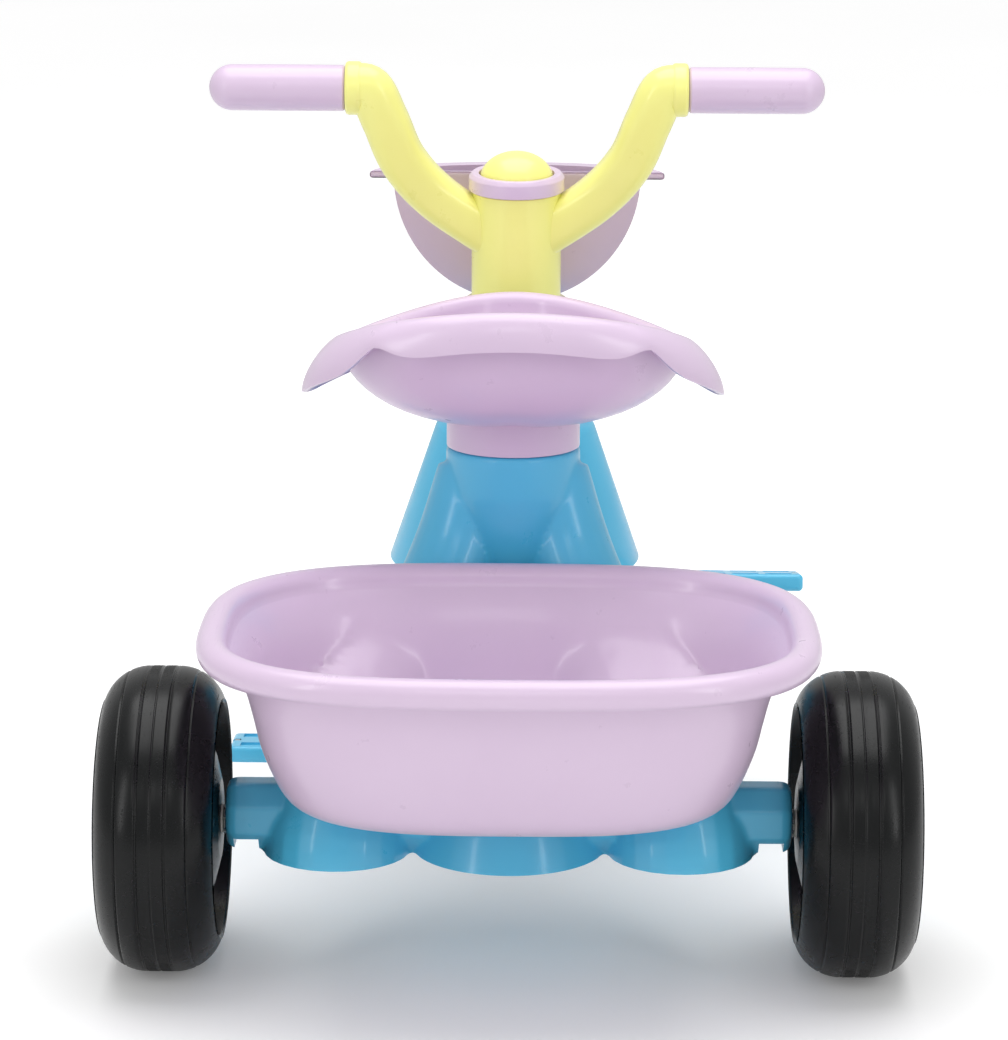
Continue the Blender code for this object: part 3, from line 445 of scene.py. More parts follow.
def zincPlatedSteel():
    # Drawn steel rod, bright zinc plated: a cool grey with a fine crystal spangle and draw lines.
    material, tree, shader, where = newMaterial("zincPlatedSteel")
    spangle = addNode(tree, "ShaderNodeTexVoronoi", None, Vector=where, Scale=1 / 0.0016).outputs["Color"]
    colour = addNode(tree, "ShaderNodeMix", {"data_type": "RGBA"}, Factor=spangle, in6=fromHex("c2c5c8"),
                     in7=fromHex("d9dbd9")).outputs[2]
    tree.links.new(colour, shader.inputs["Base Color"])
    tree.links.new(remap(tree, noise(tree, where, 0.0022, 4.0), 0.3, 0.7, 0.22, 0.36),
                   shader.inputs["Roughness"])
    drawn = addNode(tree, "ShaderNodeMapping", None, Vector=where, Scale=(0.02, 1, 1)).outputs["Vector"]
    lines = addNode(tree, "ShaderNodeBump", None, Strength=0.2, Distance=0.0001,
                    Height=noise(tree, drawn, 0.0006)).outputs["Normal"]
    tree.links.new(lines, shader.inputs["Normal"])
    shader.inputs["Metallic"].default_value = 1.0
    return material


def naturalNylon():
    # Unpigmented nylon 6: milky, slightly warm, with a fine moulded grain.
    material, tree, shader, where = newMaterial("naturalNylon")
    milk = remap(tree, noise(tree, where, 0.006, 3.0), 0.3, 0.7, 0.0, 1.0)
    colour = addNode(tree, "ShaderNodeMix", {"data_type": "RGBA"}, Factor=milk, in6=fromHex("e6e4dc"),
                     in7=fromHex("dedbd0")).outputs[2]
    tree.links.new(colour, shader.inputs["Base Color"])
    tree.links.new(remap(tree, noise(tree, where, 0.003), 0.3, 0.7, 0.40, 0.5), shader.inputs["Roughness"])
    grain = addNode(tree, "ShaderNodeBump", None, Strength=0.2, Distance=0.0001,
                    Height=noise(tree, where, 0.0008)).outputs["Normal"]
    tree.links.new(grain, shader.inputs["Normal"])
    shader.inputs["IOR"].default_value = 1.53
    return material


def bellowsRubber():
    # Soft black rubber, matt with a bloom of talc.
    material, tree, shader, where = newMaterial("bellowsRubber")
    bloom = remap(tree, noise(tree, where, 0.002, 5.0), 0.45, 0.75, 0.0, 0.5)
    colour = addNode(tree, "ShaderNodeMix", {"data_type": "RGBA"}, Factor=bloom, in6=fromHex("1a1a1b"),
                     in7=fromHex("3a3a3a")).outputs[2]
    tree.links.new(colour, shader.inputs["Base Color"])
    tree.links.new(remap(tree, bloom, 0.0, 0.5, 0.62, 0.8), shader.inputs["Roughness"])
    return material


lilac = mouldedPlastic("lilacPolypropylene", "d8c3db", "d2bad6", 0.30, 0.35, 0.06, 0.14)
skyBlue = mouldedPlastic("skyBluePolypropylene", "55c0e6", "42b1da", 0.30, 0.3, 0.06, 0.14)
yellow = mouldedPlastic("yellowPolypropylene", "f6f590", "f3ee7c", 0.30, 0.35, 0.06, 0.14)
blackTyre = blownTyrePlastic()
steel = zincPlatedSteel()
nylon = naturalNylon()
rubber = bellowsRubber()
print("materials ready")


# Rear and front wheels: two blown halves with a seam round the tread

wheel = {
    "crown": 0.008,  # half width of the flat middle of the tread
    "shoulder": (0.028, 0.026),  # half axes of the rounding from crown to side wall, width and height
    "wall": 0.003,
    "hub": 0.009,
    "seam": (0.0, 0.0006, 0.0005),  # groove: place, half width, depth
    "grooves": ((0.0078, 0.0004, 0.0005), (0.0091, 0.0004, 0.0005), (0.021, 0.0006, 0.0008)),
    "ribBand": (0.0010, 0.0070),
    "ribDepth": 0.00032,
    "ribs": 252,
    "recess": (0.057, 0.0190),  # inner radius of the recess, its depth from the side wall
    "outerBoss": 0.005,  # how far the hub's end lies in from the side wall
    "innerBoss": 0.0008,
}


def treadHeight(along, radius):
    # Radius of the tread at a distance from its middle, grooves included.
    wide, high = wheel["shoulder"]
    out = max(0.0, abs(along) - wheel["crown"])
    height = radius - high * (1 - sqrt(max(0.0, 1 - (out / wide) ** 2)))
    for place, half, depth in (wheel["seam"],) + wheel["grooves"]:
        height -= depth * exp(-(((abs(along) - place) / half) ** 2))
    return height


def halfSection(radius, half, boss):
    # Tread, side wall, recess and hub dome of one half, then its inside
    wide = wheel["crown"] + wheel["shoulder"][0]
    deepest = half - wheel["recess"][1]
    edge = radius - 0.0205
    stops = [0.0, 0.0003, 0.0006, 0.0009, 0.0013, 0.004, 0.0068]
    stops += [0.0070 + 0.00025 * i for i in range(12)] + [0.0115, 0.0145, 0.0175]
    stops += [0.0195 + 0.0003 * i for i in range(11)]
    stops += [blend(0.0235, wide * 0.985, sin(radians(i * 7.5))) for i in range(1, 12)]
    tread = [(treadHeight(along, radius), along) for along in stops]
    top = half - boss
    inner = rounded([(edge + 0.0008, half - 0.0004, 0.0), (edge - 0.0012, half - 0.0012, 0.0015),
                     (edge - 0.0035, deepest + 0.001, 0.006), (wheel["recess"][0], deepest, 0.003),
                     (0.052, half - 0.0108, 0.004), (0.040, blend(top - 0.0006, half - 0.0108, 0.42), 0.006),
                     (0.024, top - 0.0006, 0.006), (0.0125, top, 0.0008),
                     (wheel["hub"] + 0.0002, top - 0.0004, 0.0)])
    wall = wheel["wall"]
    inside = [(wheel["hub"] + 0.0002, top - wall - 0.0006), (0.024, top - wall - 0.0012),
              (0.0505, half - wall - 0.0112), (0.0555, deepest - wall), (edge - 0.004, deepest - wall),
              (edge - wall + 0.006, half - 2 * wall), (radius - 2.2 * wall, half - 0.014)]
    return tread + [tuple(point) for point in inner], inside


def wheelSection(radius, width, bosses):
    # Closed outline (radius, along) of the hollow moulding: outside one way, inside back
    far, farInside = halfSection(radius, width / 2, bosses[0])
    near, nearInside = halfSection(radius, width / 2, bosses[1])
    outside = [(r, -x) for r, x in reversed(far[1:])] + near
    inside = nearInside + [(radius - 1.3 * wheel["wall"], 0.0)] + [(r, -x) for r, x in reversed(farInside)]
    return outside + inside


def makeWheel(name, centre, radius, width, bosses):
    steps = 2 * wheel["ribs"]
    piece = spun(name, wheelSection(radius, width, bosses), "X", centre, steps)
    low, high = wheel["ribBand"]
    for vertex in piece.data.vertices:
        local = vertex.co - centre
        height = math.hypot(local.y, local.z)
        if low < abs(local.x) < high and height > radius - 0.001:
            step = round(math.atan2(local.z, local.y) * steps / (2 * pi)) % 2
            if step:
                shrink = (height - wheel["ribDepth"]) / height
                vertex.co = centre + Vector((local.x, local.y * shrink, local.z * shrink))
    return piece


wheelNodes = {
    "rearWheelLeft": ("rear_wheel_left", (wheel["outerBoss"], wheel["innerBoss"])),
    "rearWheelRight": ("rear_wheel_right", (wheel["innerBoss"], wheel["outerBoss"])),
    "frontWheel": ("front_wheel", (wheel["outerBoss"], wheel["outerBoss"])),
}
for wheelName, (node, bosses) in wheelNodes.items():
    low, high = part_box(node)
    middle = (low + high) / 2
    made = makeWheel(wheelName, middle, (high.z - low.z) / 2, high.x - low.x, bosses)
    finish(made, node, blackTyre, "black_tyre_plastic", node, angle=50)
print("wheels made")


# Frame: one moulding, open underneath

chassis = {
    "wall": 0.0035,
    "beamHalfLength": 0.171,
    "beamHeight": 0.041,
    "beamDepth": 0.038,
    "lobeX": 0.1035,
    "lobeRadius": 0.0445,
    "centreLobe": (0.062, 0.045),
    "towerRadius": 0.0425,
    "towerBottom": 0.165,
    "waistRadius": 0.031,
    "waistHeight": 0.215,
    "shoulderHeight": 0.264,
    "towerTop": 0.292,
    "socketDepth": 0.026,
    "headRadius": 0.0345,
    "head": (0.182, 0.2585),
    "neckHalfWidth": 0.024,
    "headBore": 0.0322,
    "voxel": 0.0017,
}
towerY = towerCentre.y
beamZ = rearAxle.z + 0.004
beamTop = beamZ + chassis["beamHeight"] / 2
lobeBottom = beamZ - chassis["beamHeight"] / 2 - 0.0015


def legStations(side, inset=0.0):
    # One rear leg, from the tower's shoulder down to its lobe.
    drop = chassis["towerBottom"] + 0.110 - lobeBottom
    path = [((0.024, towerY, lobeBottom + drop), 0.024),
            ((0.0375, towerY - 0.012, lobeBottom + 0.725 * drop), 0.0285),
            ((0.064, towerY - 0.050, lobeBottom + 0.425 * drop), 0.034),
            ((0.091, towerY - 0.108, lobeBottom + 0.17 * drop), 0.040),
            ((chassis["lobeX"], rearAxle.y, lobeBottom + 0.007), chassis["lobeRadius"] - 0.0008),
            ((chassis["lobeX"], rearAxle.y, lobeBottom - 0.02), chassis["lobeRadius"] + 0.002)]
    return [((side * x, y, z), radius - inset) for (x, y, z), radius in path[1 if inset else 0:]]


def neckBlock(name, inset=0.0):
    # The web between tower and steering head, a cube whose ends are moved on to both.
    headLow = steeringPlace @ Vector((0, 0, chassis["head"][0] + 0.002))
    headHigh = steeringPlace @ Vector((0, 0, chassis["head"][1] - 0.008))
    half = chassis["neckHalfWidth"] - inset
    reach = inset * 3
    piece = block(name, (-half, 0, 0), (half, 1, 1))
    for vertex in piece.data.vertices:
        front, high = vertex.co.y > 0.5, vertex.co.z > 0.5
        if front:
            vertex.co.y = headHigh.y if high else headLow.y
            vertex.co.y -= chassis["headRadius"] + 0.003 if inset else 0
            vertex.co.z = headHigh.z - inset if high else headLow.z - reach
        else:
            vertex.co.y = towerY + (chassis["towerRadius"] if inset else 0)
            low = chassis["towerBottom"] + 0.030 - reach
            vertex.co.z = chassis["towerTop"] - 0.006 - inset if high else low
    return piece if inset else bevelEdges(piece, 0.006, 4)


def towerShape(inset=0.0):
    # Below its shoulder the tower narrows to a waist between the legs.
    waist, stem = chassis["waistRadius"] - inset, chassis["waistRadius"] - 0.002 - inset
    if inset:
        top = chassis["towerTop"] - chassis["socketDepth"] - inset
        share = (top - chassis["waistHeight"]) / (chassis["shoulderHeight"] - chassis["waistHeight"])
        wide = blend(chassis["waistRadius"], chassis["towerRadius"], share) - inset - 0.0005
        return [(wide, top, 0), (waist, chassis["waistHeight"], 0), (stem, chassis["towerBottom"] - 0.05, 0)]
    return [(chassis["towerRadius"], chassis["towerTop"], 0),
            (chassis["towerRadius"], chassis["shoulderHeight"], 0.01), (waist, chassis["waistHeight"], 0.012),
            (stem, chassis["towerBottom"], 0)]


def makeTower(name, inset=0.0):
    outline = rounded(towerShape(inset))
    return spun(name, [(0, outline[0][1])] + outline + [(0, outline[-1][1])], at=(0, towerY, 0), steps=128)


def makeMainFrame():
    half = chassis["beamHalfLength"]
    pick()
    bpy.ops.mesh.primitive_cylinder_add(vertices=8, radius=0.5 / cos(pi / 8), depth=2 * half)
    beam = bpy.context.object
    turn = Matrix.Rotation(pi / 2, 4, "Y") @ Matrix.Rotation(pi / 8, 4, "Z")
    size = Matrix.Diagonal((1, chassis["beamDepth"], chassis["beamHeight"], 1))
    beam.data.transform(Matrix.Translation((0, rearAxle.y, beamZ)) @ size @ turn)
    bevelEdges(beam, 0.0055, 4, angle=60)
    low, high = chassis["centreLobe"]
    pick()
    bpy.ops.mesh.primitive_cone_add(vertices=96, radius1=low, radius2=high, depth=beamTop - lobeBottom + 0.01,
                                    location=(0, rearAxle.y + 0.007,
                                              (beamTop + lobeBottom - 0.01) / 2 - 0.0004))
    centreLobe = settle(bpy.context.object)
    tower = makeTower("tower")
    head = rod("head", chassis["headRadius"], *chassis["head"], vertices=96, width=0.0015)
    head.data.transform(steeringPlace)
    legs = [tube("leg", legStations(side)) for side in sides.values()]
    piece = fuse("mainFrame", beam, centreLobe, tower, head, neckBlock("neck"), *legs)
    remeshed(piece, chassis["voxel"], 5)
    wall = chassis["wall"]
    floor = block("floor", (-0.3, -0.4, lobeBottom - 0.1), (0.3, 0.3, lobeBottom))
    cut(piece, floor)
    hollows = [tube("hollow", legStations(side, wall)) for side in sides.values()]
    pick()
    bpy.ops.mesh.primitive_cone_add(vertices=64, radius1=low - wall + 0.003, radius2=high - wall,
                                    depth=beamTop - wall - lobeBottom + 0.01,
                                    location=(0, rearAxle.y + 0.007,
                                              (beamTop - wall + lobeBottom - 0.01) / 2))
    hollows.append(settle(bpy.context.object))
    hollows.append(makeTower("hollow", wall))
    hollows.append(neckBlock("hollow", wall))
    for side in sides.values():
        ends = sorted((side * (chassis["lobeX"] + chassis["lobeRadius"] + 0.003), side * (half - 0.005)))
        depth = chassis["beamDepth"] / 2 - wall
        hollows.append(block("hollow", (ends[0], rearAxle.y - depth, beamZ - chassis["beamHeight"]),
                             (ends[1], rearAxle.y + depth, beamZ + 0.008)))
    socket = rod("socket", chassis["towerRadius"] - wall, chassis["towerTop"] - chassis["socketDepth"],
                 chassis["towerTop"] + 0.05, at=(0, towerY, 0), vertices=128)
    bore = rod("bore", chassis["headBore"], chassis["head"][0] - 0.01, chassis["head"][1] + 0.01, vertices=96)
    bore.data.transform(steeringPlace)
    axleHole = rod("axleHole", 0.0043, -half - 0.01, half + 0.01, "X", (0, rearAxle.y, rearAxle.z), 32)
    cut(piece, *hollows, socket, bore, axleHole)
    return piece


finish(makeMainFrame(), "frame", skyBlue, "sky_blue_plastic", "main_frame", angle=38)
print("frame made")


# Basket: a tub with a rolled rim, dented round the legs

tub = {
    "halfWidth": (basketHigh.x - basketLow.x) / 2,
    "halfLength": (basketHigh.y - basketLow.y) / 2,
    "centreY": (basketLow.y + basketHigh.y) / 2,
    "floor": basketLow.z,
    "top": basketHigh.z,
    "wall": 0.003,
    "roll": 0.009,
    "planPower": 3.0,
    "legGap": 0.0085,
    "dentSpread": 0.024,
    "softness": 0.0055,
    # In from the roll's middle, up from the floor
    "side": ((0.070, 0.0), (0.054, 0.0025), (0.042, 0.0105), (0.034, 0.0247), (0.0275, 0.0420),
             (0.0235, 0.0590), (0.0190, 0.0760), (0.0130, 0.0890), (0.0075, 0.0968)),
    "around": 208,
}


def distanceToLeg(point, side):
    # Points beyond the leg are moved in first, so that the dent spreads past it. The left leg's places are
    # negative, so its points are always moved the whole way. Known fault: the legs still cut into the tub.
    stations = legLines[side]
    nearest = 1.0
    beyond = (point.x * side - stations[2][0][0]) / tub["dentSpread"]
    point = point - Vector((side * tub["dentSpread"] * max(0.0, min(1.0, beyond)), 0, 0))
    for (start, startRadius), (end, endRadius) in zip(stations, stations[1:]):
        start, end = Vector(start), Vector(end)
        along = end - start
        share = max(0.0, min(1.0, (point - start).dot(along) / along.length_squared))
        nearest = min(nearest, (point - start - along * share).length - blend(startRadius, endRadius, share))
    return nearest


legLines = {side: legStations(side)[:5] for side in sides.values()}


def tubReach(angle, halfWidth, height):
    # Distance from the tub's middle to its outside, drawn in softly where a leg is in the way.
    halfLength = halfWidth - (tub["halfWidth"] - tub["halfLength"])
    across, along = abs(cos(angle)) / halfWidth, abs(sin(angle)) / halfLength
    power = tub["planPower"]
    reach = (across ** power + along ** power) ** (-1 / power)
    if height > tub["top"] - 2.2 * tub["roll"] or sin(angle) < -0.2:
        return reach
    ray = Vector((cos(angle), sin(angle), 0))
    middle = Vector((0, tub["centreY"], height))
    side = 1 if cos(angle) > 0 else -1
    clear = 0.02
    while clear < reach + 0.03:
        room = distanceToLeg(middle + ray * clear, side) - tub["legGap"]
        if room < 0.0003:
            break
        clear += max(0.0008, 0.8 * room)
    fade = min(1.0, (tub["top"] - 2.2 * tub["roll"] - height) / 0.012)
    soft = tub["softness"]
    drawn = -soft * log(exp(-reach / soft) + exp(-clear / soft))
    return blend(reach, drawn, fade)


def tubRows():
    # (half width, height) from the floor's middle up the outside and over the rolled rim.
    rollX = tub["halfWidth"] - tub["roll"]
    rollZ = tub["top"] - tub["roll"]
    inner = tub["roll"] - tub["wall"]
    floorX = rollX - tub["side"][0][0]
    rows = [(floorX * share, tub["floor"]) for share in (0.30, 0.5, 0.7, 0.85, 0.95)]
    for step in range(33):
        point = alongLine([(into, rise, 0) for into, rise in tub["side"]], step / 32)
        rows.append((rollX - point.x, tub["floor"] + max(0.0, point.y)))
    rows += [(rollX + inner * cos(radians(turn)), rollZ + inner * sin(radians(turn)))
             for turn in range(180, -66, -15)]
    return rows


def makeTub():
    rows = tubRows()
    span = len(rows) - 1

    def place(u, v):
        halfWidth, height = rows[round(v * span)]
        reach = tubReach(2 * pi * u, max(halfWidth, 0.046), height)
        if halfWidth < 0.046:
            reach *= halfWidth / 0.046
        return Vector((reach * cos(2 * pi * u), tub["centreY"] + reach * sin(2 * pi * u), height))

    piece = rolled("basketTub", place, tub["around"], span, shut=False)
    closeHole(piece, lambda point: math.hypot(point.x, point.y - tub["centreY"]) < 0.06, tub["around"])
    thickened(piece, tub["wall"])
    flat = tub["floor"] + tub["wall"]
    return join(piece, block("floorPanel", (-0.040, rearAxle.y - 0.090, flat - 0.0015),
                             (0.040, rearAxle.y - 0.045, flat + 0.0005)))


finish(makeTub(), "frame", lilac, "lilac_plastic", "basket", angle=45)
print("basket made")


# Seat: a bucket with a broad turned-down lip, drooping wings and a stem in the tower

bucket = {
    "centreY": towerY - 0.018,
    "halfWidth": 0.1015,
    "halfLength": 0.104,
    "sideHeight": 0.358,
    "rearHeight": 0.392,
    "frontHeight": 0.368,
    "wall": 0.003,
    "lip": 0.004,
    "flangeReach": (0.008, 0.018),  # at the rear, on the wings
    "flangeDroop": (0.019, 0.031),
    "panBottom": chassis["towerTop"] + 0.019,
    "around": 200,
}


def rimHeight(angle):
    end = bucket["frontHeight"] if sin(angle) > 0 else bucket["rearHeight"]
    return blend(bucket["sideHeight"], end, abs(sin(angle)) ** 1.7)


def flange(angle, share):
    # Out and down from the top of the lip: broad on the wings, cut up into a peak at each rear corner
    side = cos(angle) ** 2
    notch = 9.0
    if sin(angle) < 0:
        notch = (abs(math.atan2(cos(angle), -sin(angle))) - radians(34)) / radians(6.5)
    droop = blend(*bucket["flangeDroop"], side) - 0.012 * exp(-abs(notch) ** 1.6)
    straight = 0.5 * side
    fall = straight * share + (1 - straight) * (1 - sqrt(max(0.0, 1 - share * share)))
    return blend(*bucket["flangeReach"], side) * share, droop * fall


def seatPoint(angle, halfWidth, halfLength, height):
    taper = 1 - 0.30 * sin(angle)
    return Vector((halfWidth * cos(angle) * taper, bucket["centreY"] + halfLength * sin(angle), height))


def makeSeat():
    lip = bucket["lip"]
    rows = [("pan", tilt) for tilt in (3, 6, 10, 14, 19, 24, 30, 36, 42, 48, 54, 60, 66, 72, 77, 82, 86, 90)]
    rows += [("roll", bend) for bend in (165, 150, 135, 120, 105, 90)]
    turns = (7, 15, 23, 31, 39, 47, 55, 63, 70, 76, 81, 85, 88, 90)
    rows += [("flange", sin(radians(turn))) for turn in turns]

    def place(u, v):
        kind, value = rows[round(v * (len(rows) - 1))]
        angle = 2 * pi * u
        wide, long = bucket["halfWidth"], bucket["halfLength"]
        if kind == "pan":
            share = sin(radians(value))
            rise = (bucket["sideHeight"] - bucket["panBottom"]) * (1 - cos(radians(value)))
            lift = (rimHeight(angle) - bucket["sideHeight"]) * share ** 6
            point = seatPoint(angle, wide * share, long * share, bucket["panBottom"] + rise + lift)
            point.z += 0.0016 * exp(-((point.x / 0.013) ** 2)) * (1 - share ** 4)
            return point
        if kind == "roll":
            out = lip * (1 + cos(radians(value)))
            return seatPoint(angle, wide + out, long + out, rimHeight(angle) + lip * sin(radians(value)))
        out, down = flange(angle, value)
        return seatPoint(angle, wide + lip + out, long + lip + out, rimHeight(angle) + lip - down)

    piece = rolled("seatBucket", place, bucket["around"], len(rows) - 1, shut=False)
    closeHole(piece, lambda point: abs(point.x) < 0.02 and point.z < bucket["panBottom"] + 0.005,
              bucket["around"])
    thickened(piece, bucket["wall"])
    outer = chassis["towerRadius"] - 0.0003
    post = outer - chassis["wall"]
    top = bucket["panBottom"] + 0.0055
    seam = chassis["towerTop"] + 0.0003
    low = chassis["towerTop"] - chassis["socketDepth"] + 0.0003
    stem = spun("stem", rounded([(outer, top, 0), (outer, seam, 0.0006), (post, seam, 0), (post, low, 0.001),
                                 (post - chassis["wall"], low, 0), (post - chassis["wall"], top, 0)]),
                at=(0, towerY, 0), steps=144)
    boss = rod("boss", 0.008, low, bucket["panBottom"] + 0.0015, at=(0, towerY, 0))
    join(piece, stem, boss)
    cut(piece, rod("pilot", 0.0023, low - 0.01, low + 0.026, at=(0, towerY, 0), vertices=24))
    return piece


finish(makeSeat(), "frame", lilac, "lilac_plastic", "seat", angle=45)
print("seat made")


# Handlebar, grips, cowl and horn button

bar = {
    "columnRadius": 0.02975,
    "columnBottom": 0.1778,
    "columnTop": 0.3355,
    "gripY": centreOf("grip_left").y,
    "gripZ": centreOf("grip_left").z,
    "halfRoot": 0.101,
    "collarRadius": 0.0175,
    "collarLength": 0.011,
    "armHalfHeight": 0.0155,
    "armHalfDepth": 0.018,
    "gripRadius": 0.015,
    "gripLength": 0.089,
    "spigot": 0.0107,
}


def armPath(share):
    # A smooth line through the arm's stations, from inside the column out to the collar.
    root = steeringPlace @ Vector((0, 0, bar["columnTop"] - 0.030))
    rise = bar["gripZ"] - root.z
    stations = [(0.010, root.y, root.z - 0.004),
                (0.051, blend(root.y, bar["gripY"], 0.2), root.z + 0.24 * rise),
                (0.074, blend(root.y, bar["gripY"], 0.5), root.z + 0.50 * rise),
                (0.086, blend(root.y, bar["gripY"], 0.8), root.z + 0.78 * rise),
                (bar["halfRoot"] - 0.005, bar["gripY"], bar["gripZ"] - 0.001),
                (bar["halfRoot"] + 0.008, bar["gripY"], bar["gripZ"])]
    return alongLine(stations, share)


def makeArm(side):
    rows = 44

    def place(u, v):
        here = armPath(v)
        ahead, behind = armPath(min(1, v + 0.01)), armPath(max(0, v - 0.01))
        tangent = (ahead - behind).normalized()
        back = Vector((0, -1, 0))
        back = (back - tangent * back.dot(tangent)).normalized()
        up = tangent.cross(back) * -1
        squareness = blend(0.62, 1.0, max(0.0, (v - 0.55) / 0.45))
        angle = 2 * pi * u
        depth = blend(bar["armHalfDepth"], bar["armHalfHeight"], max(0.0, (v - 0.4) / 0.6))
        x = abs(cos(angle)) ** squareness * (1 if cos(angle) > 0 else -1)
        y = abs(sin(angle)) ** squareness * (1 if sin(angle) > 0 else -1)
        point = here + back * depth * x + up * bar["armHalfHeight"] * y
        return Vector((side * point.x, point.y, point.z))

    return rolled("arm", place, 64, rows)


def makeHandlebar():
    web = bar["columnTop"] - 0.032
    bore = bar["columnRadius"] - 0.0042
    chamber = 0.0263
    radius, bottom, top = bar["columnRadius"], bar["columnBottom"], bar["columnTop"]
    column = spun("handlebar", rounded([(radius, top, 0.0008), (radius, bottom, 0.0008), (bore, bottom, 0),
                                        (bore, web - 0.005, 0), (0.0043, web - 0.005, 0), (0.0043, web, 0),
                                        (chamber, web, 0), (chamber, top, 0)]), steps=144)
    column.data.transform(steeringPlace)
    inside = rod("inside", chamber - 0.0001, web, top + 0.05, vertices=144)
    lower = rod("inside", bore - 0.0001, bottom - 0.01, web - 0.0052, vertices=144)
    for piece in (inside, lower):
        piece.data.transform(steeringPlace)
    for side in sides.values():
        at = (0, bar["gripY"], bar["gripZ"])
        root = side * bar["halfRoot"]
        ends = sorted((root, root + side * bar["collarLength"]))
        collar = rod("collar", bar["collarRadius"], *ends, axis="X", at=at, vertices=96, width=0.0025)
        ends = sorted((root, root + side * (bar["collarLength"] + bar["gripLength"] - 0.008)))
        spigot = rod("spigot", bar["spigot"], *ends, axis="X", at=at, vertices=48)
        join(column, makeArm(side), collar, spigot)
    cut(column, inside, lower)
    return column


finish(makeHandlebar(), "steering", yellow, "yellow_plastic", "handlebar", angle=35)

for name, side in sides.items():
    start = bar["halfRoot"] + bar["collarLength"] + 0.0003
    end = bar["halfRoot"] + bar["collarLength"] + bar["gripLength"]
    radius = bar["gripRadius"]
    nose = [(radius * sin(radians(turn)), end - radius * (1 - cos(radians(turn))))
            for turn in range(0, 91, 5)]
    section = nose + [(radius + 0.0001, blend(start, end, 0.45)), (radius, start + 0.0012),
                      (radius - 0.0009, start),
                      (0.011, start), (0.011, end - 0.006), (0, end - 0.006)]
    section = [(r, side * x) for r, x in section]
    grip = spun("grip" + name.title(), section, "X", (0, bar["gripY"], bar["gripZ"]), 96)
    finish(grip, "steering", lilac, "lilac_plastic", "grip_" + name)

cowl = {
    "bottom": bar["columnTop"] + 0.0003,
    "ringRadius": 0.03175,
    "ringBore": 0.025,
    "ringHeight": 0.012,
    "shelfHalfWidth": 0.099,
    "shelfDepth": 0.033,
    "shelfThickness": 0.0045,
    "shield": (0.083, 0.026, 0.087),
    "wall": 0.003,
    "front": 0.0365,
}


def makeBowl(top, inset):
    # Half an ellipsoid with its flat side to the rider
    pick()
    bpy.ops.mesh.primitive_uv_sphere_add(segments=128, ring_count=64, radius=1)
    piece = bpy.context.object
    size = Matrix.Diagonal([axis - inset for axis in cowl["shield"]] + [1])
    piece.data.transform(Matrix.Translation((0, cowl["front"], top + 0.002)) @ size)
    return cut(piece, block("trim", (-0.2, -0.2, top - 0.1), (0.2, cowl["front"] + inset, top + 0.1)))


def makeCowl():
    low = cowl["bottom"]
    top = low + cowl["ringHeight"]
    ring = spun("cowl", rounded([(cowl["ringBore"], top - 0.0005, 0),
                                 (cowl["ringRadius"] - 0.0022, top, 0.0015),
                                 (cowl["ringRadius"], top - 0.003, 0.002), (cowl["ringRadius"], low, 0.0012),
                                 (cowl["ringBore"], low, 0)]), steps=128)
    shelfZ = low - 0.001
    shelf = rod("shelf", 0.5, 0, cowl["shelfThickness"], vertices=160, at=(0, 0, shelfZ))
    shelf.data.transform(Matrix.Translation((0, cowl["front"], 0))
                         @ Matrix.Diagonal((2 * cowl["shelfHalfWidth"], 2 * cowl["shelfDepth"], 1, 1)))
    cut(shelf, block("trim", (-0.2, -0.2, shelfZ - 0.02), (0.2, cowl["front"], shelfZ + 0.02)))
    bevelEdges(shelf, 0.0018, 4)
    bowl, hollow = makeBowl(shelfZ, 0.0), makeBowl(shelfZ, cowl["wall"])
    cut(bowl, block("trim", (-0.2, -0.1, shelfZ + 0.002), (0.2, 0.2, shelfZ + 0.1)))
    bevelEdges(bowl, 0.0012, 3, angle=60)
    bridge = block("bridge", (-0.020, bar["columnRadius"] + 0.0008, shelfZ + 0.0005),
                   (0.020, cowl["front"] + 0.006, top - 0.004), 0.0015)
    clear = rod("clear", cowl["ringBore"] + 0.0001, low - 0.02, top + 0.02, vertices=128)
    join(ring, bridge, shelf, bowl)
    cut(ring, clear, hollow)
    return settle(ring, steeringPlace)


finish(makeCowl(), "steering", lilac, "lilac_plastic", "cowl", angle=40)


def makeHornButton():
    height, radius, skirt = 0.026, 0.0245, 0.007
    dome = [(radius * sin(radians(turn)), skirt + (height - skirt) * cos(radians(turn)))
            for turn in range(0, 91, 6)]
    section = dome + [(radius, 0.0), (0.0258, -0.0003), (0.0258, -0.0033), (0.021, -0.0033), (0.021, skirt),
                      (0.012, 0.018), (0, 0.021)]
    button = spun("hornButton", section, steps=128)
    return settle(button, steeringPlace @ Matrix.Translation((0, 0, bar["columnTop"])))


finish(makeHornButton(), "horn", yellow, "yellow_plastic", "horn_button")
print("steering made")


# Fork: a broad bell over the front wheel, with two legs down to the crank

fork = {
    "bellTop": 0.1775,
    "hem": 0.080,
    "topRadius": 0.0415,
    "hemRadius": 0.0675,
    "broadening": 1.26,
    "wall": 0.0035,
    "legInner": 0.044,
    "legThickness": 0.012,
    "legHalfWidth": 0.021,
}


def bellCone(name, low, high, lowRadius, highRadius):
    pick()
    bpy.ops.mesh.primitive_cone_add(vertices=144, radius1=lowRadius, radius2=highRadius, depth=high - low,
                                    location=(0, 0, (low + high) / 2))
    piece = bpy.context.object
    piece.name = name
    piece.scale = (fork["broadening"], 1, 1)
    return settle(piece)


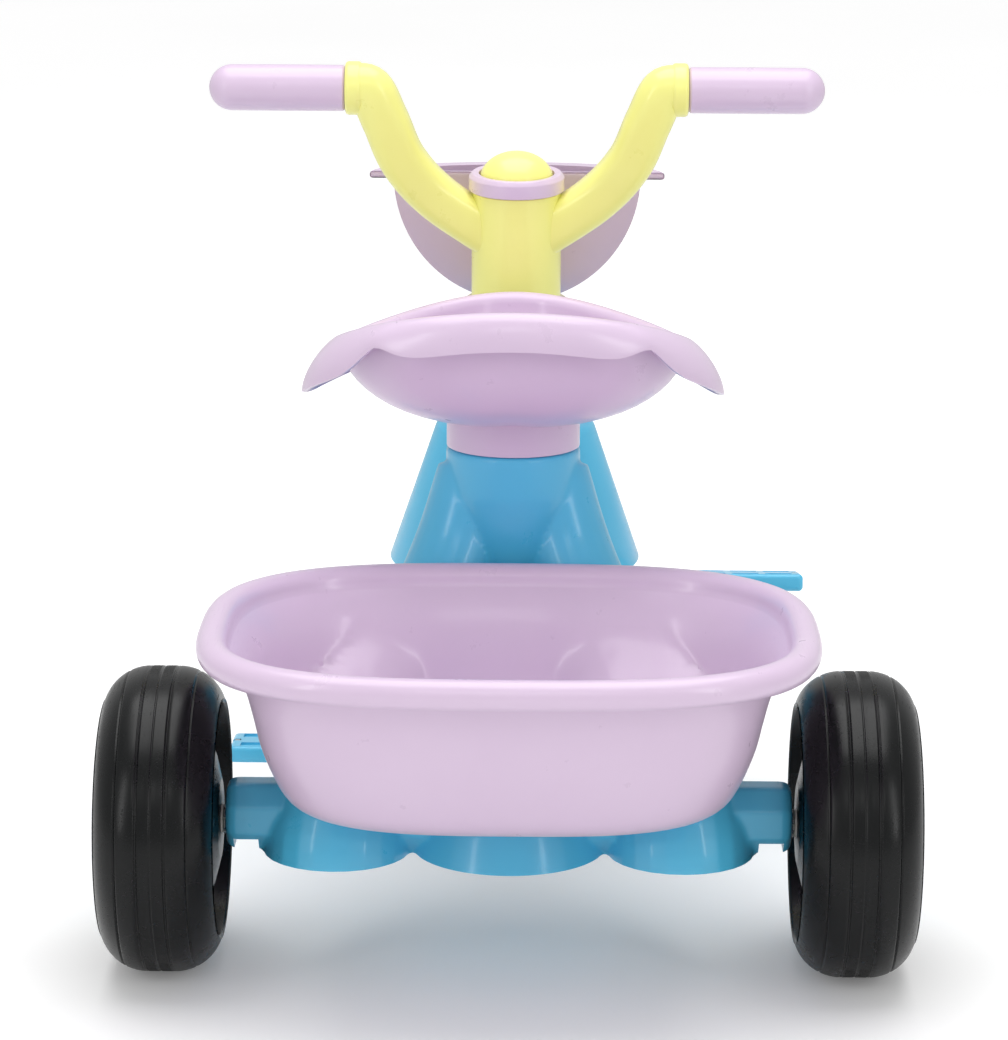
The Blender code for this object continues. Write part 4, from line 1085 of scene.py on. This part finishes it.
def makeFork():
    top, hem, wall = fork["bellTop"], fork["hem"], fork["wall"]
    slope = (fork["hemRadius"] - fork["topRadius"]) / (top - hem)
    bell = bellCone("fork", hem, top, fork["hemRadius"], fork["topRadius"])
    selectWhere(bell, lambda point: point.z > top - 0.0001, "EDGE")
    bpy.ops.mesh.bevel(offset=0.005, segments=6, affect="EDGES")
    endEdit()
    ceiling = top - 0.008
    cut(bell, bellCone("hollow", hem - 0.02, ceiling, fork["hemRadius"] + 0.02 * slope - wall,
                       fork["topRadius"] + slope * (top - ceiling) - wall))
    bevelEdges(bell, 0.0008, 2, angle=60)
    legTop = hem + (fork["hemRadius"] - 0.051) / slope - 0.003
    for side in sides.values():
        inner, outer = side * fork["legInner"], side * (fork["legInner"] + fork["legThickness"])
        low, high = sorted((inner, outer))
        leg = block("leg", (low, -fork["legHalfWidth"], 0.0003), (high, fork["legHalfWidth"], legTop), 0.002)
        low, high = sorted((inner, side * (fork["legInner"] + fork["legThickness"] / 2)))
        rib = block("rib", (low, -fork["legHalfWidth"] / 2, hem),
                    (high, fork["legHalfWidth"] / 2, ceiling + 0.002))
        join(bell, leg, rib)
    join(bell, rod("spigot", 0.02525, ceiling + 0.002, 0.2485, vertices=96))
    cut(bell, rod("boltHole", 0.0043, 0.0, 0.4, vertices=48),
        rod("axleSeat", 0.0054, -0.08, 0.08, "X", vertices=48))
    for side in sides.values():
        x = side * (fork["legInner"] + fork["legThickness"] / 2)
        for y in (-0.0125, 0.0125):
            cut(bell, rod("screwHole", 0.0018, -0.0166, 0.016, at=(x, y, 0), vertices=24))
    return settle(bell, steeringPlace)


finish(makeFork(), "steering", skyBlue, "sky_blue_plastic", "fork", angle=38)


def makeClamp(side):
    outer = fork["legInner"] + fork["legThickness"]
    low, high = sorted((side * (fork["legInner"] + 0.001), side * (outer - 0.001)))
    clamp = rod("forkClamp", fork["legHalfWidth"], low, high, "X", vertices=96, width=0.0015)
    cut(clamp, block("trim", (-0.1, -0.1, -0.0003), (0.1, 0.1, 0.1)),
        rod("bore", 0.0054, -0.08, 0.08, "X", vertices=48))
    x = side * (fork["legInner"] + fork["legThickness"] / 2)
    for y in (-0.0125, 0.0125):
        cut(clamp, rod("hole", 0.0018, -0.03, 0.016, at=(x, y, 0), vertices=24),
            rod("recess", 0.0035, -0.03, -0.0162, at=(x, y, 0), vertices=32))
    return settle(clamp, steeringPlace)


for name, side in sides.items():
    clamp = makeClamp(side)
    clamp.name = "forkClamp" + name.title()
    finish(clamp, "steering", skyBlue, "sky_blue_plastic", "fork_clamp_" + name)
print("fork made")


# Pedals: a block with rows of pockets in its two treads

pedal = {"length": 0.100, "depth": 0.050, "thickness": 0.0115, "innerX": 0.096, "crankRadius": 0.005,
         "tilts": {"left": 5, "right": 11}}  # rear edge up


def makePedal(name, side, centre):
    low, high = sorted((side * pedal["innerX"], side * (pedal["innerX"] + pedal["length"])))
    half, deep = pedal["thickness"] / 2, pedal["depth"] / 2
    piece = block(name, (low, centre.y - deep, centre.z - half), (high, centre.y + deep, centre.z + half),
                  0.003, 5)
    pockets = []
    for column in range(4):
        for row in (-1, 1):
            for face in (-1, 1):
                x = (low + high) / 2 + (column - 1.5) * 0.0225
                y, z = centre.y + row * 0.0150, centre.z + face * half
                pockets.append(block("pocket", (x - 0.009, y - 0.0055, z - 0.002),
                                     (x + 0.009, y + 0.0055, z + 0.002), 0.0009, 2))
    cut(piece, *pockets)
    at = (0, centre.y, centre.z)
    bore = sorted((side * (pedal["innerX"] - 0.01), side * (pedal["innerX"] + pedal["length"])))
    recess = sorted((side * (pedal["innerX"] + pedal["length"] - 0.0063), side * (pedal["innerX"] + 0.12)))
    return cut(piece, rod("bore", pedal["crankRadius"] + 0.0004, *bore, axis="X", at=at, vertices=48),
               rod("recess", 0.0063, *recess, axis="X", at=at, vertices=48))


for name, side in sides.items():
    centre = centreOf("pedal_" + name)
    made = makePedal("pedal" + name.title(), side, centre)
    tilt = Matrix.Rotation(-radians(pedal["tilts"][name]), 4, "X")
    settle(made, Matrix.Translation(centre) @ tilt @ Matrix.Translation(-centre))
    finish(made, "pedal_" + name, skyBlue, "sky_blue_plastic", "pedal_" + name)
print("pedals made")


# Small hardware


def hubSection(radius, bore, low, high):
    return rounded([(radius, high, 0.0006), (radius, low, 0.0006), (bore, low, 0), (bore, high, 0)])


for name, side in sides.items():
    low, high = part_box("rear_hub_" + name)
    at = (0, rearAxle.y, rearAxle.z)
    hub = spun("rearHub" + name.title(), hubSection(0.0087, 0.0044, low.x, high.x), "X", at, 64)
    finish(hub, "rear_wheel_" + name, nylon, "white_nylon", "rear_hub_" + name)
    low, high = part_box("rear_washer_" + name)
    washer = spun("rearWasher" + name.title(), hubSection(0.0085, 0.0043, low.x, high.x), "X", at, 64)
    finish(washer, "frame", steel, "zinc_plated_steel", "rear_washer_" + name)
    low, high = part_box("rear_cap_" + name)
    face, nose = (low.x, high.x) if side > 0 else (high.x, low.x)
    section = [(0.0, nose), (0.003, nose - side * 0.0001), (0.0052, nose - side * 0.0005),
               (0.0072, nose - side * 0.0013), (0.0083, nose - side * 0.0024), (0.0085, face + side * 0.0004),
               (0.0083, face), (0.0043, face), (0.0043, face + side * 0.003), (0.0, face + side * 0.003)]
    cap = spun("rearCap" + name.title(), section, "X", at, 64)
    finish(cap, "frame", nylon, "white_nylon", "rear_cap_" + name)

low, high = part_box("rear_axle")
axle = rod("rearAxle", 0.004, low.x, high.x, "X", (0, rearAxle.y, rearAxle.z), 48, 0.0006)
finish(axle, "frame", steel, "zinc_plated_steel", "rear_axle")
low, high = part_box("front_hub")
hub = spun("frontHub", hubSection(0.0087, 0.0053, low.x, high.x), "X", frontAxle, 64)
finish(hub, "front_wheel", nylon, "white_nylon", "front_hub")


def makeCrank():
    # One rod bent twice at each end.
    throw, armX, endX, bend = 0.063, 0.077, 0.190, 0.012
    corners = [(-endX, -throw), (-armX, -throw), (-armX, 0), (armX, 0), (armX, throw), (endX, throw)]
    points = [Vector((corners[0][0], 0, corners[0][1]))]
    for before, corner, after in zip(corners, corners[1:], corners[2:]):
        before, corner, after = (Vector((x, 0, z)) for x, z in (before, corner, after))
        enter = corner + (before - corner).normalized() * bend
        leave = corner + (after - corner).normalized() * bend
        points += [enter.lerp(corner, i / 10).lerp(corner.lerp(leave, i / 10), i / 10) for i in range(11)]
    points.append(Vector((corners[-1][0], 0, corners[-1][1])))
    pick()
    bpy.ops.curve.primitive_nurbs_path_add()
    guide = bpy.context.object
    guide.name = "crank"
    curve = guide.data
    curve.splines.clear()
    line = curve.splines.new("POLY")
    line.points.add(len(points) - 1)
    for knot, point in zip(line.points, points):
        knot.co = (*point, 1)
    curve.bevel_depth = pedal["crankRadius"]
    curve.bevel_resolution = 10
    curve.use_fill_caps = True
    pick(guide)
    bpy.ops.object.convert(target="MESH")
    piece = bpy.context.object
    weld(piece)
    return settle(piece, steeringPlace)


finish(makeCrank(), "front_wheel", steel, "zinc_plated_steel", "crank", angle=60)


def panScrew(name, head, shank, length, thick):
    # Pan head with a cross recess, head up, its seat at the origin.
    section = [(0, thick), (head * 0.5, thick * 0.94), (head * 0.8, thick * 0.72),
               (head, thick * 0.25), (head, 0),
               (shank, 0), (shank, -length + shank), (0, -length)]
    piece = spun(name, section, steps=48)
    for turn in (0, pi / 2):
        slot = block("slot", (-head * 0.55, -head * 0.11, thick * 0.35),
                     (head * 0.55, head * 0.11, thick + 0.001))
        slot.data.transform(Matrix.Rotation(turn, 4, "Z"))
        cut(piece, slot)
    return piece


tubScrew = panScrew("tubScrew", 0.005, 0.002, 0.0105, 0.0026)
for number in (1, 2, 3):
    node = f"basket_screw_{number}"
    low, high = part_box(node)
    screw = copyOf(tubScrew, f"basketScrew{number}",
                   ((low.x + high.x) / 2, (low.y + high.y) / 2, high.z - 0.0026))
    finish(screw, "frame", steel, "zinc_plated_steel", node)
seatScrew = copyOf(tubScrew, "seatScrew")
bpy.data.objects.remove(tubScrew)
low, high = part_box("seat_screw")
stretch = (high.z - low.z - 0.0026) / 0.0105
for vertex in seatScrew.data.vertices:
    if vertex.co.z < -0.001:
        vertex.co.z *= stretch
seatPlace = Matrix.Translation((towerCentre.x, towerCentre.y, low.z + 0.0026))
settle(seatScrew, seatPlace @ Matrix.Rotation(pi, 4, "X"))
finish(seatScrew, "frame", steel, "zinc_plated_steel", "seat_screw")
clampScrew = panScrew("clampScrew", 0.0032, 0.0015, 0.0305, 0.0018)
for name, side in sides.items():
    for end, y in (("rear", -0.0125), ("front", 0.0125)):
        screw = copyOf(clampScrew, f"clampScrew{name.title()}{end.title()}")
        x = side * (fork["legInner"] + fork["legThickness"] / 2)
        settle(screw, steeringPlace @ Matrix.Translation((x, y, -0.0165)) @ Matrix.Rotation(pi, 4, "X"))
        finish(screw, "steering", steel, "zinc_plated_steel", f"clamp_screw_{name}_{end}")
bpy.data.objects.remove(clampScrew)

# The frame's own pieces that stay
keptNodes = {
    "head_bush_upper": nylon, "head_bush_lower": nylon, "steering_bolt": steel, "steering_washer": steel,
    "steering_nut": steel, "pedal_stop_left": steel, "pedal_stop_right": steel, "horn_bellows": rubber,
}
for node, material in keptNodes.items():
    piece = frame["nodes"][node]
    for slot in piece.material_slots:
        slot.link = "OBJECT"
        slot.material = material
print("hardware made")


# Floor, light and camera

stageSet = {
    "floorSize": 60.0,
    "glowNear": 0.12,
    "glowFar": 0.40,
    "roomLight": 0.62,
}


def makeFloor():
    # Its faint glow is for the camera alone, and keeps the far floor white.
    pick()
    bpy.ops.mesh.primitive_plane_add(size=stageSet["floorSize"])
    floor = bpy.context.object
    floor.name = "floor"
    material, tree, shader, where = newMaterial("paintedSweep")
    tint = remap(tree, noise(tree, where, 0.8), 0.3, 0.7, 0.0, 1.0)
    colour = addNode(tree, "ShaderNodeMix", {"data_type": "RGBA"}, Factor=tint, in6=fromHex("f7f7f7"),
                     in7=fromHex("f4f4f4")).outputs[2]
    tree.links.new(colour, shader.inputs["Base Color"])
    shader.inputs["Roughness"].default_value = 0.6
    shader.inputs["Specular IOR Level"].default_value = 0.2
    shader.inputs["Emission Color"].default_value = (1, 1, 1, 1)
    away = addNode(tree, "ShaderNodeVectorMath", {"operation": "LENGTH"}, in0=where).outputs["Value"]
    glow = remap(tree, away, 0.35, 1.4, stageSet["glowNear"], stageSet["glowFar"])
    seen = addNode(tree, "ShaderNodeLightPath").outputs["Is Camera Ray"]
    shown = addNode(tree, "ShaderNodeMath", {"operation": "MULTIPLY"}, in0=glow, in1=seen).outputs[0]
    tree.links.new(shown, shader.inputs["Emission Strength"])
    floor.data.materials.append(material)


def softBox(name, place, aim, width, height, power):
    pick()
    bpy.ops.object.light_add(type="AREA", location=place)
    lamp = bpy.context.object
    lamp.name = name
    lamp.data.shape = "RECTANGLE"
    lamp.data.size = width
    lamp.data.size_y = height
    lamp.data.energy = power
    lamp.rotation_euler = (Vector(aim) - Vector(place)).to_track_quat("-Z", "Y").to_euler()
    return lamp


makeFloor()
softBox("overhead", (0, 0.1, 2.4), (0, 0, 0), 2.2, 2.2, 40)
for name, side in sides.items():
    softBox(name + "Strip", (side * 1.7, -1.9, 1.1), (0, 0, 0.2), 0.25, 1.6, 8)
softBox("front", (0.0, -2.6, 1.9), (0, 0, 0.3), 0.9, 0.5, 3)
# The room lights the piece gently, and looks white behind it.
world = bpy.data.worlds.new("whiteRoom")
bpy.context.scene.world = world
world.use_nodes = True
room = world.node_tree
seen = addNode(room, "ShaderNodeLightPath").outputs["Is Camera Ray"]
glow = remap(room, seen, 0, 1, stageSet["roomLight"], 1.0)
room.links.new(glow, room.nodes["Background"].inputs["Strength"])
room.nodes["Background"].inputs["Color"].default_value = (1, 1, 1, 1)
bpy.context.scene.view_settings.view_transform = "Standard"

view = {"place": (0.02, -2.3255, 0.7929), "turn": 0.622, "tilt": 13.13, "roll": 0.31, "lens": 131.4}
pick()
bpy.ops.object.camera_add()
camera = bpy.context.object
camera.data.lens = view["lens"]
camera.data.sensor_width = 36
camera.data.clip_end = 50
camera.matrix_world = (Matrix.Translation(view["place"]) @ Matrix.Rotation(radians(view["turn"]), 4, "Z")
                       @ Matrix.Rotation(radians(90 - view["tilt"]), 4, "X")
                       @ Matrix.Rotation(radians(view["roll"]), 4, "Z"))
bpy.context.scene.camera = camera
print("stage set")
